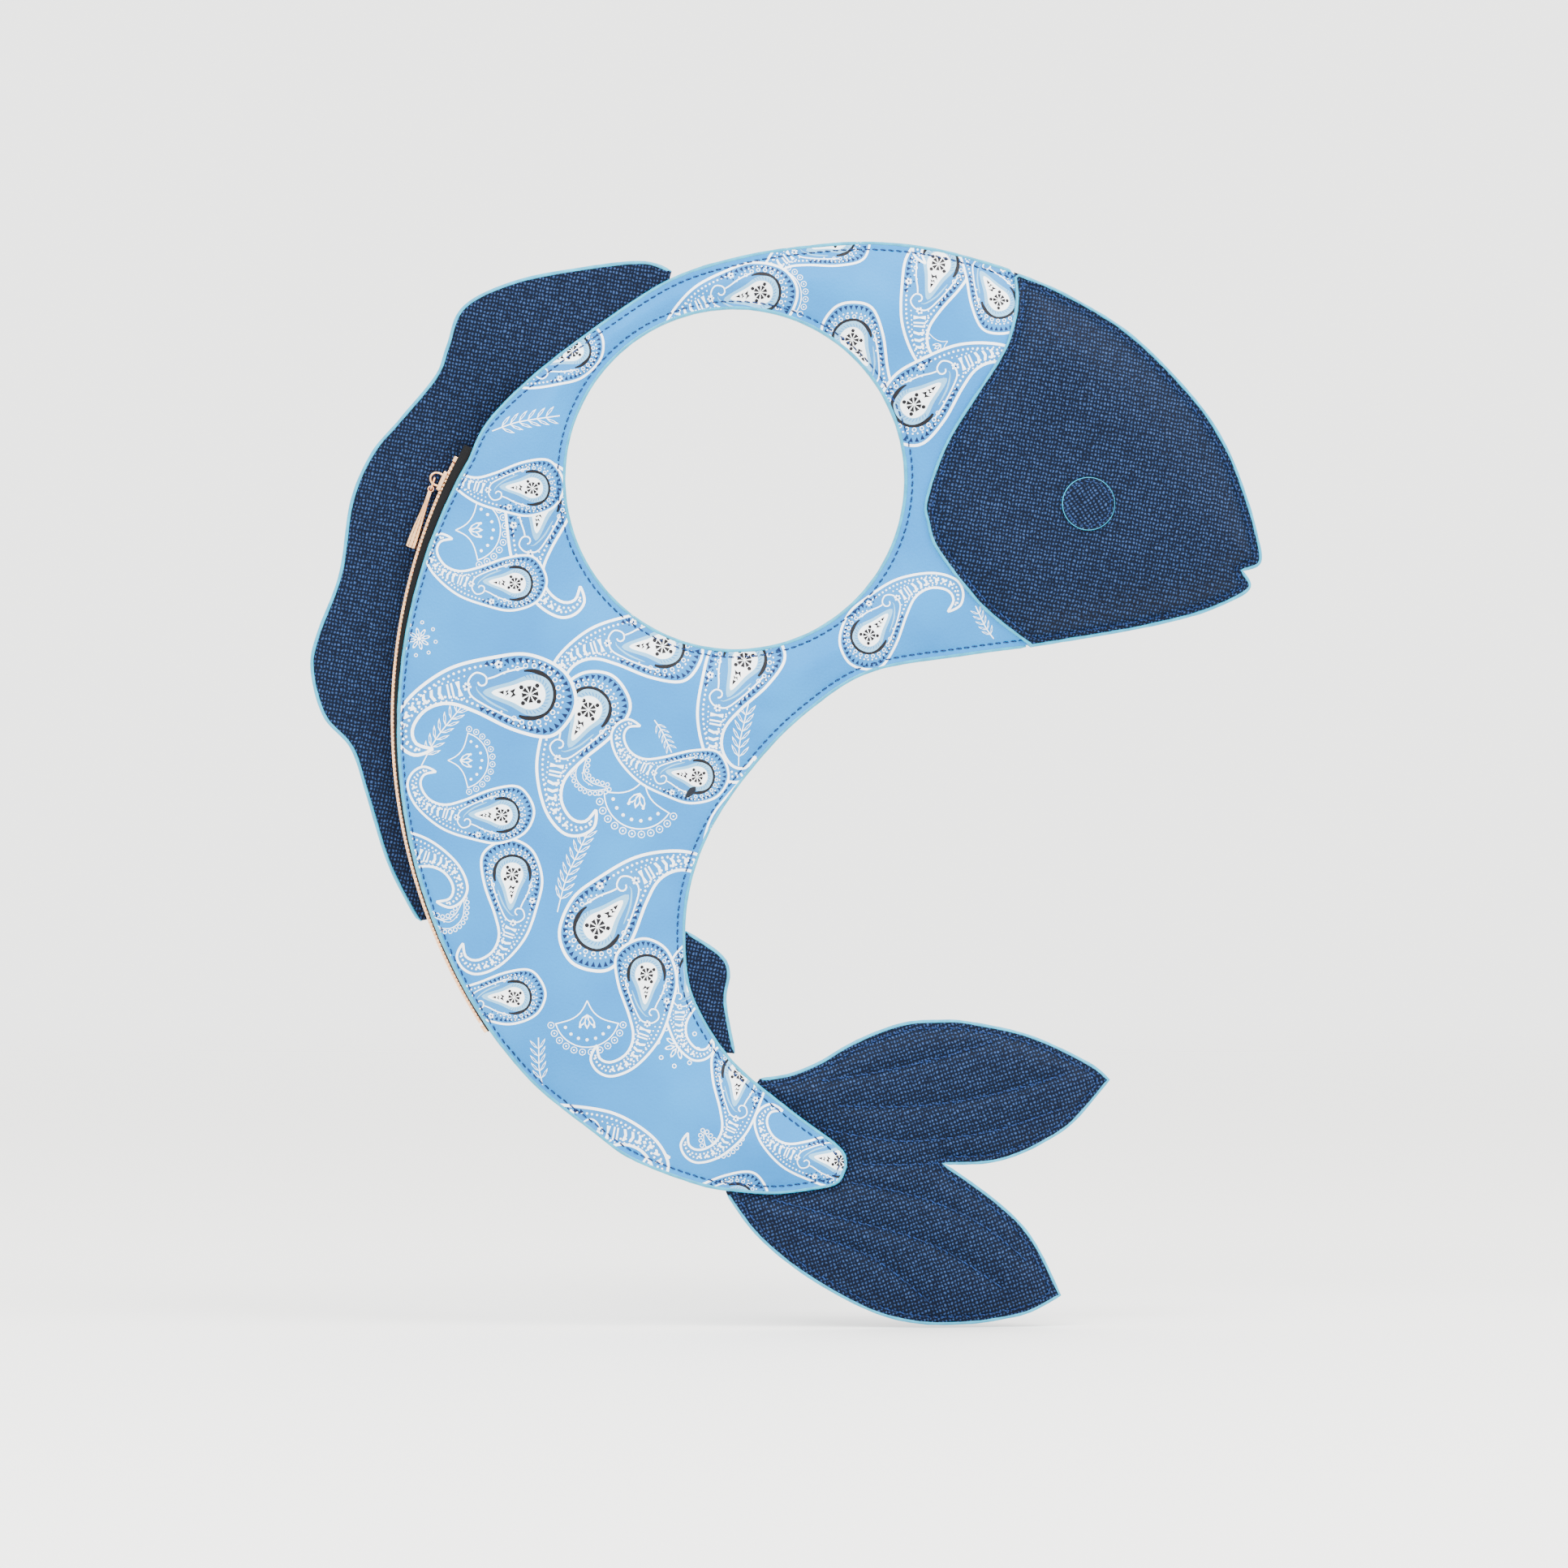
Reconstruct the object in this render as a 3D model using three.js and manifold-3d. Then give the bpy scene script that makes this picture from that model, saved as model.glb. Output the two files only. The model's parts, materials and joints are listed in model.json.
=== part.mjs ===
// A fish-shaped zipped handbag: two domed leather panels with a round arm hole, stuffed head and
// tail, flat fins, a curved zip along the back edge with a slider that runs on it, and a hanging pull.
// Millimetres. The bag lies in the XZ plane, its front faces -Y, +Z is up, and the origin is the top
// inner edge of the arm hole, where the bag hangs.
import * as THREE from "three";
import { mergeVertices } from "three/addons/utils/BufferGeometryUtils.js";
import Module from "manifold-3d";

// Overall sizes
const BAG_HEIGHT = 476;
const DRAWN_HEIGHT = 476;      // height at which the outlines below are drawn
const HOLE_R = 75;
const BODY_PUFF = 8.5;         // how far a body panel swells above its edge
const BODY_PUFF_REACH = 40;    // distance from the edge at which the swelling levels out
const HEAD_PUFF = 7;
const HEAD_PUFF_REACH = 28;
const TAIL_PUFF = 4.5;
const TAIL_PUFF_REACH = 18;
const TAIL_LIFT = 0.9;         // roundness of the tail's edge, over TAIL_LIFT_REACH
const TAIL_LIFT_REACH = 8;

// Materials' thicknesses and gaps
const PANEL_T = 1.5;
const HEAD_T = 1.5;
const TAIL_T = 1.2;
const FIN_T = 1.0;
const LINING_T = 0.5;
const TAPE_REACH = 10;         // zip tape hidden behind the panel's edge
const GAP = 0.3;
const SEAM_HALF_GAP = GAP / 2;
const LINING_GAP = 0.85;
const LINING_INSET = TAPE_REACH + 2;
const LINING_HOLE_INSET = 8;
const POCKET_TOP = 20;         // above the arm hole's centre, at the drawn height
const WADDING_INSET = 12;
const HEAD_MARGIN_REACH = 28;  // over this distance the head settles onto the mid-plane
const FIN_TUCK = 8;            // how far a fin reaches into its seam
const FIN_REACH = 20;          // over these distances a seam opens for what is sewn into it
const ANAL_FIN_REACH = 16;
const TAIL_ROOT_REACH = 24;
const TAIL_ROOT = 1.3;         // room for the swelling of the tail's root under the body's tip
const TAIL_FLAT = 3;           // flat strip of the tail beyond the body's edge

// Eyes
const EYE_R = 11.4;
const EYE_T = 1.2;

// Zip
const CHAIN_R = 248.2;
const CHAIN_HALF_SLOT = 0.8;   // half the space between the two rows of teeth
const TOOTH_W = 2.2;
const TOOTH_H = 2.4;
const TAPE_T = 0.6;
const TAPE_CLEAR = 0.55;       // between the slider and the bend where the tape turns down to the panel
const TAPE_RISE = 0.6;         // from there to where it runs behind the panel
const TAPE_BEND_OUT = 0.5;     // how far outside the panel's edge it has risen
const SEWN_GAP = 0.1;          // between tape and panel, beyond the usual gap
const ZIP_TOP = 28;            // degrees about the chain's centre, from straight left, up is positive
const ZIP_BOTTOM = -32.5;
const SLIDER_ANGLE = 24.7;
const STOP_LENGTH = 0.7;       // degrees
const STOP_PROUD = 0.3;        // how far a stop stands out from the teeth
const MOUTH_MARGIN = 2;        // degrees of fully open seam past the zip's ends
const MOUTH_FADE = 12;         // degrees over which the open seam closes past the zip's ends
const MOUTH_REACH = 45;        // how far the wide seam is felt inward

// Slider and pull
const SLIDER_LENGTH = 9;
const SLIDER_WALL = 1.0;
const SLIDER_CLEAR = 0.45;
const SLIDER_WEDGE = 1.0;
const WEDGE_LENGTH = 3;
const JOIN = 0.2;              // overlap of two forms that are joined into one
const BAIL_LENGTH = 6.4;
const BAIL_RISE = 4.8;
const BAIL_WIRE = 1.2;
const BAIL_WIDTH = 2.2;
const BAIL_FLOOR = 0.8;
const LINK_WIRE = 0.9;
const LINK_LENGTH = 5.2;       // between the two wires
const LINK_CORNER = 0.9;
const PULL_LENGTH = 28.5;
const PULL_TOP_W = 2.5;
const PULL_FOOT_W = 4.7;
const PULL_T = 1.6;
const PULL_EYE_PLAY = 0.35;    // between the link's wire and the pull's eye
const PULL_TILT = 19;          // degrees from straight down

// The grid on which all the soft sheets are cut, so that neighbouring layers stay parallel
const GRID = 20;
const GRID_FINE = 10;
const STEP = 12;               // spacing of points along an outline
const POINT_MERGE = 0.5;       // points closer than this are one
const DEEP = 80;               // cutting forms reach this far to the front and the back

const COLOURS = {
  panel: 0x74bde8,
  navy: 0x24427a,
  lining: 0x20242c,
  wadding: 0xe9e6df,
  tape: 0x16161a,
  gold: 0xd9b98a,
};

// ---------------------------------------------------------------- outlines
// Points are [right, up] from the arm hole's centre at the drawn height.
const scale = BAG_HEIGHT / DRAWN_HEIGHT;
const place = ([x, z]) => new THREE.Vector2(x * scale, z * scale - HOLE_R);

const CHAIN_CENTRE = place([98.2, -105.6]);
const RIM_CENTRE = place([89, -109.5]);
const RIM_R = 237.3 * scale;
const RIM_TOP = 29.6;
const RIM_BOTTOM = -35.9;
const chainR = CHAIN_R * scale;

function smooth(points, step = STEP) {
  const curve = new THREE.SplineCurve(points.map(place));
  return curve.getSpacedPoints(Math.ceil(curve.getLength() / (step * scale)));
}

function arc(centre, r, from, to, step = STEP) {
  const rad = THREE.MathUtils.degToRad;
  const n = Math.ceil((Math.abs(to - from) * Math.PI * r) / 180 / step);
  return Array.from({ length: n + 1 }, (_, i) => {
    const a = rad(from + ((to - from) * i) / n);
    return new THREE.Vector2(centre.x - r * Math.cos(a), centre.y + r * Math.sin(a));
  });
}

function join(...stretches) {
  const out = [];
  for (const p of stretches.flat()) {
    if (!out.length || out.at(-1).distanceTo(p) > POINT_MERGE) out.push(p);
  }
  if (out[0].distanceTo(out.at(-1)) < POINT_MERGE) out.pop();
  return out;
}

const tailToZip = [
  [48.8, -302.3], [35, -312], [18, -314], [2, -313], [-16, -310], [-45, -299], [-62, -287], [-87, -267],
  [-103.2, -248.6],
];
const zipToHead = [
  [-117.3, 7.7], [-109, 24.5], [-89, 45], [-60, 67.5], [-28, 88], [3, 98], [32, 102.7], [60, 104.5],
  [89, 101.6], [117.5, 94], [123, 91.5],
];
const headRear = [
  [123, 91.5], [123.6, 79], [121, 66], [115.7, 53.4], [94, 19], [84, -8], [84.5, -19], [89, -32], [108, -56],
  [131, -73.4],
];
const headTop = [[123, 91.5], [146, 82], [175, 64.5], [203, 36.6], [218, 14], [227.5, -10.5], [231.4, -24.8]];
const upperLip = [[231.4, -24.8], [233, -33], [231.5, -37.5], [224.6, -39.8]];
const lowerLip = [[224.6, -39.8], [228.2, -45.5], [226, -49.5], [217.5, -54]];
const headBelly = [[217.5, -54], [203, -59.5], [175, -66], [131, -73.4]];
const belly = [
  [131, -73.4], [103, -77], [60, -84.5], [32, -102], [9, -125], [-10.4, -153], [-20.7, -182],
  [-22, -210], [-17.5, -230.5], [-1.6, -255.5], [23.6, -277], [46, -294], [48.8, -302.3],
];
// The body panel runs a seam's width under the head.
const headMargin = [
  [130, -72.6], [133, -68], [114, -45], [97, -23], [94, -9], [98, 4], [115, 30], [131, 60], [133, 76],
  [127, 88.5],
];

const zipRim = arc(RIM_CENTRE, RIM_R, RIM_BOTTOM, RIM_TOP);
const silhouette = join(
  smooth(tailToZip), zipRim, smooth(zipToHead), smooth(headTop), smooth(upperLip), smooth(lowerLip),
  smooth(headBelly), smooth(belly),
);
const bodyOutline = join(
  smooth(tailToZip), zipRim, smooth(zipToHead), smooth(headMargin).reverse(), smooth(belly.slice(1)),
);
const headOutline = join(
  smooth(headTop), smooth(upperLip), smooth(lowerLip), smooth(headBelly), smooth([...headRear].reverse()),
);
const holeCentre = new THREE.Vector2(0, -HOLE_R);
const hole = (r = HOLE_R) => arc(holeCentre, r, 0, 360).slice(0, -1);

const dorsalFinEdge = [
  [-28, 91], [-41, 95], [-68, 92], [-97, 86], [-119, 75], [-126, 58], [-131, 45], [-147, 25.5], [-159, 11],
  [-168, -10], [-173, -42], [-183, -69], [-185.4, -84], [-180, -104], [-168, -118], [-161, -139], [-152, -168],
  [-141, -190], [-137.5, -194],
];
const dorsalFin = join(
  smooth(dorsalFinEdge),
  arc(RIM_CENTRE, RIM_R - FIN_TUCK, -21, RIM_TOP),
  smooth([[-106, 10], [-83, 36], [-57, 57.5], [-32, 77]]),
);
const analFin = join(
  smooth([[-22, -199], [-7, -209], [-3, -217], [-4.6, -230], [-0.5, -252.5]]),
  smooth([[-9, -252], [-24, -231], [-29, -212], [-29, -203]]),
);
const tail = join(
  smooth([[10.7, -263.8], [24, -261.8], [50, -249], [77, -239], [103, -239], [130, -245], [165.4, -264.5]]),
  smooth([[165.4, -264.5], [149.4, -283], [123, -298], [110, -301], [92, -301.4]]),
  smooth([[92, -301.4], [103, -308.8], [127, -329], [143.8, -359.5]]),
  smooth([[143.8, -359.5], [130, -366.8], [103, -371.6], [83, -371.6], [44, -358], [8, -330.5], [-3.8, -314]]),
  smooth([[-3.8, -314], [-6, -302], [-2, -285], [5, -272], [10.7, -263.8]]),
);

// ---------------------------------------------------------------- swelling of the soft sheets
function distanceTo(line, x, z, closed = true) {
  const p = new THREE.Vector3(x, z, 0);
  const hit = new THREE.Vector3();
  let best = Infinity;
  for (let i = closed ? 0 : 1; i < line.length; i++) {
    const a = line.at(i - 1);
    const b = line[i];
    const edge = new THREE.Line3(new THREE.Vector3(a.x, a.y, 0), new THREE.Vector3(b.x, b.y, 0));
    edge.closestPointToPoint(p, true, hit);
    best = Math.min(best, hit.distanceTo(p));
  }
  return best;
}

function inside(line, x, z) {
  let odd = false;
  for (let i = 0; i < line.length; i++) {
    const a = line.at(i - 1);
    const b = line[i];
    if (a.y > z !== b.y > z && x < ((b.x - a.x) * (z - a.y)) / (b.y - a.y) + a.x) odd = !odd;
  }
  return odd;
}

const depth = (line, x, z) => (inside(line, x, z) ? distanceTo(line, x, z) : 0);
const swell = (u) => 1 - (1 - Math.min(Math.max(u, 0), 1)) ** 2;
const ease = (u) => THREE.MathUtils.smoothstep(u, 0, 1);

// 1 along the zip, fading past its ends and inward
function zipMouth(x, z) {
  const dx = x - CHAIN_CENTRE.x;
  const dz = z - CHAIN_CENTRE.y;
  const angle = THREE.MathUtils.radToDeg(Math.atan2(dz, -dx));
  const past = Math.max(angle - ZIP_TOP, ZIP_BOTTOM - angle, MOUTH_MARGIN) - MOUTH_MARGIN;
  const inward = Math.max(chainR - TAPE_REACH - FIN_TUCK - Math.hypot(dx, dz), 0);
  return ease(1 - past / MOUTH_FADE) * ease(1 - inward / MOUTH_REACH);
}

const finEdgeLine = smooth([[-28, 91], [-45, 78], [-89, 45], [-117.3, 7.7]]);
const finStack = FIN_T + GAP / 2;
// 1 up to half the reach away from a line, 0 beyond one and a half times the reach
const near = (line, x, z, reach, closed) => ease(1.5 - distanceTo(line, x, z, closed) / reach);
const beside = (line, x, z, reach) => (inside(line, x, z) ? 1 : near(line, x, z, reach));

// Distance of a panel's middle surface from the bag's mid-plane at its edge
const seam = SEAM_HALF_GAP + PANEL_T / 2;
// Half-widths of the zip, outward from its middle: teeth, slider, bend of the tape, sewn-in tape.
const toothOuter = CHAIN_HALF_SLOT + TOOTH_W;
const sliderHalf = toothOuter + SLIDER_CLEAR + SLIDER_WALL;
const tapeBend = sliderHalf + TAPE_CLEAR;
const tapeFace = tapeBend + TAPE_RISE + TAPE_T / 2;
const zipSeam = tapeFace + GAP + SEWN_GAP + PANEL_T / 2;

function edgeHeight(x, z) {
  const fin = finStack * near(finEdgeLine, x, z, FIN_REACH, false);
  const anal = (finStack + GAP) * beside(analFin, x, z, ANAL_FIN_REACH);
  const root = (TAIL_T + TAIL_ROOT + GAP) * beside(tail, x, z, TAIL_ROOT_REACH);
  const soft = seam + Math.max(fin, anal, root);
  return THREE.MathUtils.lerp(soft, zipSeam, zipMouth(x, z));
}

const puff = (x, z) => {
  const rim = Math.min(depth(silhouette, x, z), Math.max(Math.hypot(x, z + HOLE_R) - HOLE_R, 0));
  return BODY_PUFF * swell(rim / BODY_PUFF_REACH);
};
const finRoom = finStack * 2 + 1.5 * GAP;
const bodyFront = (x, z) => edgeHeight(x, z) + puff(x, z);
const bodyBack = (x, z) => bodyFront(x, z) + finRoom * zipMouth(x, z);

const headRearLine = smooth(headRear);
function headHeight(x, z) {
  const rear = distanceTo(headRearLine, x, z, false);
  const step = (PANEL_T / 2 + GAP + HEAD_T / 2) * ease(1.4 - rear / HEAD_MARGIN_REACH);
  return bodyFront(x, z) + step + HEAD_PUFF * swell(depth(headOutline, x, z) / HEAD_PUFF_REACH);
}

// The tail is pressed flat where the body's tip is stitched over it, and swells beyond.
function tailHeight(x, z) {
  const rim = depth(tail, x, z);
  const clear = inside(bodyOutline, x, z) ? 0 : Math.max(distanceTo(bodyOutline, x, z) - TAIL_FLAT, 0);
  const stuffed = TAIL_PUFF * swell(Math.min(rim, clear) / TAIL_PUFF_REACH);
  return TAIL_T / 2 + SEAM_HALF_GAP + TAIL_LIFT * swell(rim / TAIL_LIFT_REACH) + stuffed;
}

const finMiddle = (x, z) => (zipSeam - PANEL_T / 2 + finRoom / 2) * zipMouth(x, z);

// ---------------------------------------------------------------- solids
const wasm = await Module();
wasm.setup();

function toSolid(geometry) {
  geometry.deleteAttribute("normal");
  geometry.deleteAttribute("uv");
  const merged = mergeVertices(geometry, 1e-4);
  return new wasm.Manifold(new wasm.Mesh({
    numProp: 3,
    vertProperties: merged.attributes.position.array,
    triVerts: Uint32Array.from(merged.index.array),
  }));
}

function toGeometry(solid) {
  const mesh = solid.getMesh();
  const geometry = new THREE.BufferGeometry();
  geometry.setAttribute("position", new THREE.BufferAttribute(mesh.vertProperties, 3));
  geometry.setIndex(new THREE.BufferAttribute(mesh.triVerts, 1));
  geometry.computeVertexNormals();
  return geometry;
}

function gridLines(low, high, fineLow, fineHigh) {
  const lines = [low];
  while (lines.at(-1) < high) {
    const at = lines.at(-1);
    lines.push(at + (at >= fineLow && at < fineHigh ? GRID_FINE : GRID));
  }
  return lines;
}

// The grid starts a cell outside everything that is cut from it, and is finer round the tail's root.
const everything = new THREE.Box2().setFromPoints([...silhouette, ...dorsalFin, ...analFin, ...tail]);
const tailRoot = place([16, -287]);
const ROOT_SPAN = 36 * scale;
const gridAlong = (axis) => gridLines(
  everything.min[axis] - GRID,
  everything.max[axis] + GRID,
  tailRoot[axis] - ROOT_SPAN,
  tailRoot[axis] + ROOT_SPAN,
);
const GRID_X = gridAlong("x");
const GRID_Z = gridAlong("y");

function span(lines, low, high) {
  const first = lines.findLastIndex((v) => v <= low);
  const last = lines.findIndex((v) => v >= high);
  return lines.slice(first, last + 1);
}

// A closed slab between two heights, on the shared grid
function slab(outline, low, high) {
  const box = new THREE.Box2().setFromPoints(outline);
  const xs = span(GRID_X, box.min.x - 1, box.max.x + 1);
  const zs = span(GRID_Z, box.min.y - 1, box.max.y + 1);
  const positions = [];
  for (const height of [low, high]) {
    for (const z of zs) {
      for (const x of xs) positions.push(x, height(x, z), z);
    }
  }
  const layer = xs.length * zs.length;
  const index = [];
  const quad = (a, b, c, d) => index.push(a, b, c, a, c, d);
  const at = (i, j, top) => j * xs.length + i + (top ? layer : 0);
  for (let j = 0; j + 1 < zs.length; j++) {
    for (let i = 0; i + 1 < xs.length; i++) {
      quad(at(i, j, 0), at(i + 1, j, 0), at(i + 1, j + 1, 0), at(i, j + 1, 0));
      index.push(at(i, j, 1), at(i + 1, j + 1, 1), at(i + 1, j, 1));
      index.push(at(i, j, 1), at(i, j + 1, 1), at(i + 1, j + 1, 1));
    }
  }
  for (let i = 0; i + 1 < xs.length; i++) {
    const j = zs.length - 1;
    quad(at(i, 0, 0), at(i, 0, 1), at(i + 1, 0, 1), at(i + 1, 0, 0));
    quad(at(i, j, 0), at(i + 1, j, 0), at(i + 1, j, 1), at(i, j, 1));
  }
  for (let j = 0; j + 1 < zs.length; j++) {
    const i = xs.length - 1;
    quad(at(0, j, 0), at(0, j + 1, 0), at(0, j + 1, 1), at(0, j, 1));
    quad(at(i, j, 0), at(i, j, 1), at(i, j + 1, 1), at(i, j + 1, 0));
  }
  const geometry = new THREE.BufferGeometry();
  geometry.setAttribute("position", new THREE.Float32BufferAttribute(positions, 3));
  geometry.setIndex(index);
  return toSolid(geometry);
}

const turnedLeft = (points) => (THREE.ShapeUtils.isClockWise(points) ? [...points].reverse() : points);

function prism(outline, holes = []) {
  const shape = new THREE.Shape(turnedLeft(outline));
  shape.holes = holes.map((points) => new THREE.Path(points));
  const geometry = new THREE.ExtrudeGeometry(shape, { depth: 2 * DEEP, bevelEnabled: false });
  return toSolid(geometry.rotateX(Math.PI / 2).translate(0, DEEP, 0));
}

// A sheet cut to an outline. Heights are distances from the mid-plane on its own side.
function sheet(side, outline, low, high, holes = []) {
  const [from, to] = side < 0 ? [(x, z) => -high(x, z), (x, z) => -low(x, z)] : [low, high];
  return slab(outline, from, to).intersect(prism(outline, holes));
}

const layer = (height, from, to) => [(x, z) => height(x, z) + from, (x, z) => height(x, z) + to];

// ---------------------------------------------------------------- zip geometry
const rad = THREE.MathUtils.degToRad;
const onChain = (angle, n = 0) => new THREE.Vector2(
  CHAIN_CENTRE.x - (chainR + n) * Math.cos(rad(angle)),
  CHAIN_CENTRE.y + (chainR + n) * Math.sin(rad(angle)),
);

// How far the panel's edge lies inside the chain's circle at an angle about the chain's centre
function rimDrop(angle) {
  const ray = new THREE.Vector2(-Math.cos(rad(angle)), Math.sin(rad(angle)));
  const between = CHAIN_CENTRE.clone().sub(RIM_CENTRE);
  const along = between.dot(ray);
  return chainR + along - Math.sqrt(along ** 2 - between.lengthSq() + RIM_R ** 2);
}

// Sweeps a closed section, given as [outward, across] points, along the chain
function sweep(profile, from, to, steps) {
  const positions = [];
  const index = [];
  const section = (angle) => {
    const points = profile(angle);
    const area = THREE.ShapeUtils.area(points.map(([n, y]) => new THREE.Vector2(n, y)));
    return area > 0 ? points : points.reverse();
  };
  const count = section(from).length;
  for (let i = 0; i <= steps; i++) {
    const angle = from + ((to - from) * i) / steps;
    for (const [n, y] of section(angle)) {
      const p = onChain(angle, n);
      positions.push(p.x, y, p.y);
    }
  }
  for (let i = 0; i < steps; i++) {
    for (let k = 0; k < count; k++) {
      const a = i * count + k;
      const b = i * count + ((k + 1) % count);
      index.push(a, b + count, b, a, a + count, b + count);
    }
  }
  const contour = section(from).map(([n, y]) => new THREE.Vector2(n, y));
  const last = steps * count;
  for (const [a, b, c] of THREE.ShapeUtils.triangulateShape(contour, [])) {
    index.push(a, b, c, last + c, last + b, last + a);
  }
  const geometry = new THREE.BufferGeometry();
  geometry.setAttribute("position", new THREE.Float32BufferAttribute(positions, 3));
  geometry.setIndex(index);
  return toSolid(geometry);
}

const rect = (n0, n1, y0, y1) => [[n0, y0], [n1, y0], [n1, y1], [n0, y1]];
const mirrored = (points, side) => points.map(([n, y]) => [n, side * y]);

function tape(side) {
  const h = TAPE_T / 2;
  const start = toothOuter + GAP;
  const section = (angle) => {
    const drop = rimDrop(angle);
    const bend = drop + TAPE_BEND_OUT;
    const end = drop + TAPE_REACH;
    const behind = tapeBend + TAPE_RISE;
    return mirrored([
      [-h, start], [-h, tapeBend - h], [-bend, behind - h], [-end, behind - h], [-end, behind + h],
      [-bend, behind + h], [h, tapeBend + h], [h, start],
    ], side);
  };
  return sweep(section, ZIP_BOTTOM - 1, ZIP_TOP + 1, 40);
}

// Stops and teeth follow one another with a small gap, in degrees.
const STOP_GAP = 0.1;
const topStopStart = ZIP_TOP - 1.1;
const stopHalf = TOOTH_H / 2 + STOP_PROUD;

function teeth(side) {
  const section = () => mirrored(rect(-TOOTH_H / 2, TOOTH_H / 2, CHAIN_HALF_SLOT, toothOuter), side);
  return sweep(section, ZIP_BOTTOM, topStopStart - STOP_GAP, 48);
}

function stop(side) {
  const section = () => mirrored(rect(-stopHalf, stopHalf, CHAIN_HALF_SLOT - STOP_PROUD, toothOuter), side);
  return sweep(section, topStopStart, topStopStart + STOP_LENGTH, 1);
}

function bottomStop() {
  const section = () => rect(-stopHalf, stopHalf, -toothOuter, toothOuter);
  return sweep(section, ZIP_BOTTOM - 1, ZIP_BOTTOM - STOP_GAP, 1);
}

// ---------------------------------------------------------------- slider and pull
// Built with local x outward from the chain, y across it and z towards the zip's lower end.
const plateAt = TOOTH_H / 2 + SLIDER_CLEAR;

function block(x0, x1, y0, y1, z0, z1) {
  const geometry = new THREE.BoxGeometry(x1 - x0, y1 - y0, z1 - z0);
  return toSolid(geometry.translate((x0 + x1) / 2, (y0 + y1) / 2, (z0 + z1) / 2));
}

function sliderBody() {
  const half = SLIDER_LENGTH / 2;
  const slot = TAPE_T / 2 + SLIDER_CLEAR;
  const wall = sliderHalf - SLIDER_WALL;
  let body = block(plateAt, plateAt + SLIDER_WALL, -sliderHalf, sliderHalf, -half, half);
  body = body.add(block(-plateAt - SLIDER_WALL, -plateAt, -sliderHalf, sliderHalf, -half, half));
  for (const side of [-1, 1]) {
    for (const face of [-1, 1]) {
      const [x0, x1] = [face * slot, face * (plateAt + JOIN)].sort((a, b) => a - b);
      const [y0, y1] = [side * wall, side * sliderHalf].sort((a, b) => a - b);
      body = body.add(block(x0, x1, y0, y1, -half, half));
    }
  }
  const reach = plateAt + JOIN;
  const wedge = block(-reach, reach, -SLIDER_WEDGE / 2, SLIDER_WEDGE / 2, -half, -half + WEDGE_LENGTH);
  return body.add(wedge);
}

const bailFoot = plateAt + SLIDER_WALL + GAP;
function bail() {
  const half = BAIL_LENGTH / 2;
  const shape = new THREE.Shape();
  shape.moveTo(bailFoot, -half);
  shape.lineTo(bailFoot + BAIL_RISE - half, -half);
  shape.absarc(bailFoot + BAIL_RISE - half, 0, half, -Math.PI / 2, Math.PI / 2);
  shape.lineTo(bailFoot, half);
  const inner = half - BAIL_WIRE;
  const path = new THREE.Path();
  path.moveTo(bailFoot + BAIL_FLOOR, -inner);
  path.lineTo(bailFoot + BAIL_RISE - half, -inner);
  path.absarc(bailFoot + BAIL_RISE - half, 0, inner, -Math.PI / 2, Math.PI / 2);
  path.lineTo(bailFoot + BAIL_FLOOR, inner);
  shape.holes.push(path);
  const geometry = new THREE.ExtrudeGeometry(shape, {
    depth: BAIL_WIDTH,
    bevelEnabled: false,
    curveSegments: 8,
  });
  return toSolid(geometry.rotateX(Math.PI / 2).translate(0, BAIL_WIDTH / 2, 0));
}

// The link hangs in the bail's eye; its pivot is the wire that passes through the eye.
const eyeCentre = bailFoot + (BAIL_FLOOR + BAIL_RISE - BAIL_WIRE) / 2;
const linkPivot = onChain(SLIDER_ANGLE, eyeCentre);
const hang = new THREE.Vector2(-Math.sin(rad(PULL_TILT)), -Math.cos(rad(PULL_TILT)));
const pullPivot = linkPivot.clone().addScaledVector(hang, LINK_LENGTH);

// Local z runs down the pull and local x is its width.
function link() {
  const r = LINK_WIRE / 2;
  const corner = LINK_CORNER;
  const y = BAIL_WIDTH / 2 + GAP + r;
  const z = LINK_LENGTH;
  const points = [
    [-y + corner, 0], [y - corner, 0], [y, corner], [y, z - corner], [y - corner, z], [-y + corner, z],
    [-y, z - corner], [-y, corner],
  ].map(([b, c]) => new THREE.Vector3(0, b, c));
  const loop = new THREE.CatmullRomCurve3(points, true, "catmullrom", 0.2);
  const section = new THREE.Shape();
  section.absarc(0, 0, r, 0, Math.PI * 2);
  const geometry = new THREE.ExtrudeGeometry(section, { steps: 28, curveSegments: 4, extrudePath: loop });
  return toSolid(geometry);
}

function pullBar() {
  const eye = LINK_WIRE / 2 + PULL_EYE_PLAY;
  const top = -PULL_TOP_W / 2;
  const shape = new THREE.Shape();
  shape.moveTo(-PULL_TOP_W / 2, 0);
  shape.absarc(0, 0, PULL_TOP_W / 2, Math.PI, 0);
  shape.lineTo(PULL_FOOT_W / 2, PULL_LENGTH + top);
  shape.lineTo(-PULL_FOOT_W / 2, PULL_LENGTH + top);
  const path = new THREE.Path();
  path.absarc(0, 0, eye, 0, Math.PI * 2);
  shape.holes.push(path);
  const geometry = new THREE.ExtrudeGeometry(shape, { depth: PULL_T, bevelEnabled: false, curveSegments: 8 });
  return toSolid(geometry.rotateX(Math.PI / 2).translate(0, PULL_T / 2, 0));
}

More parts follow.
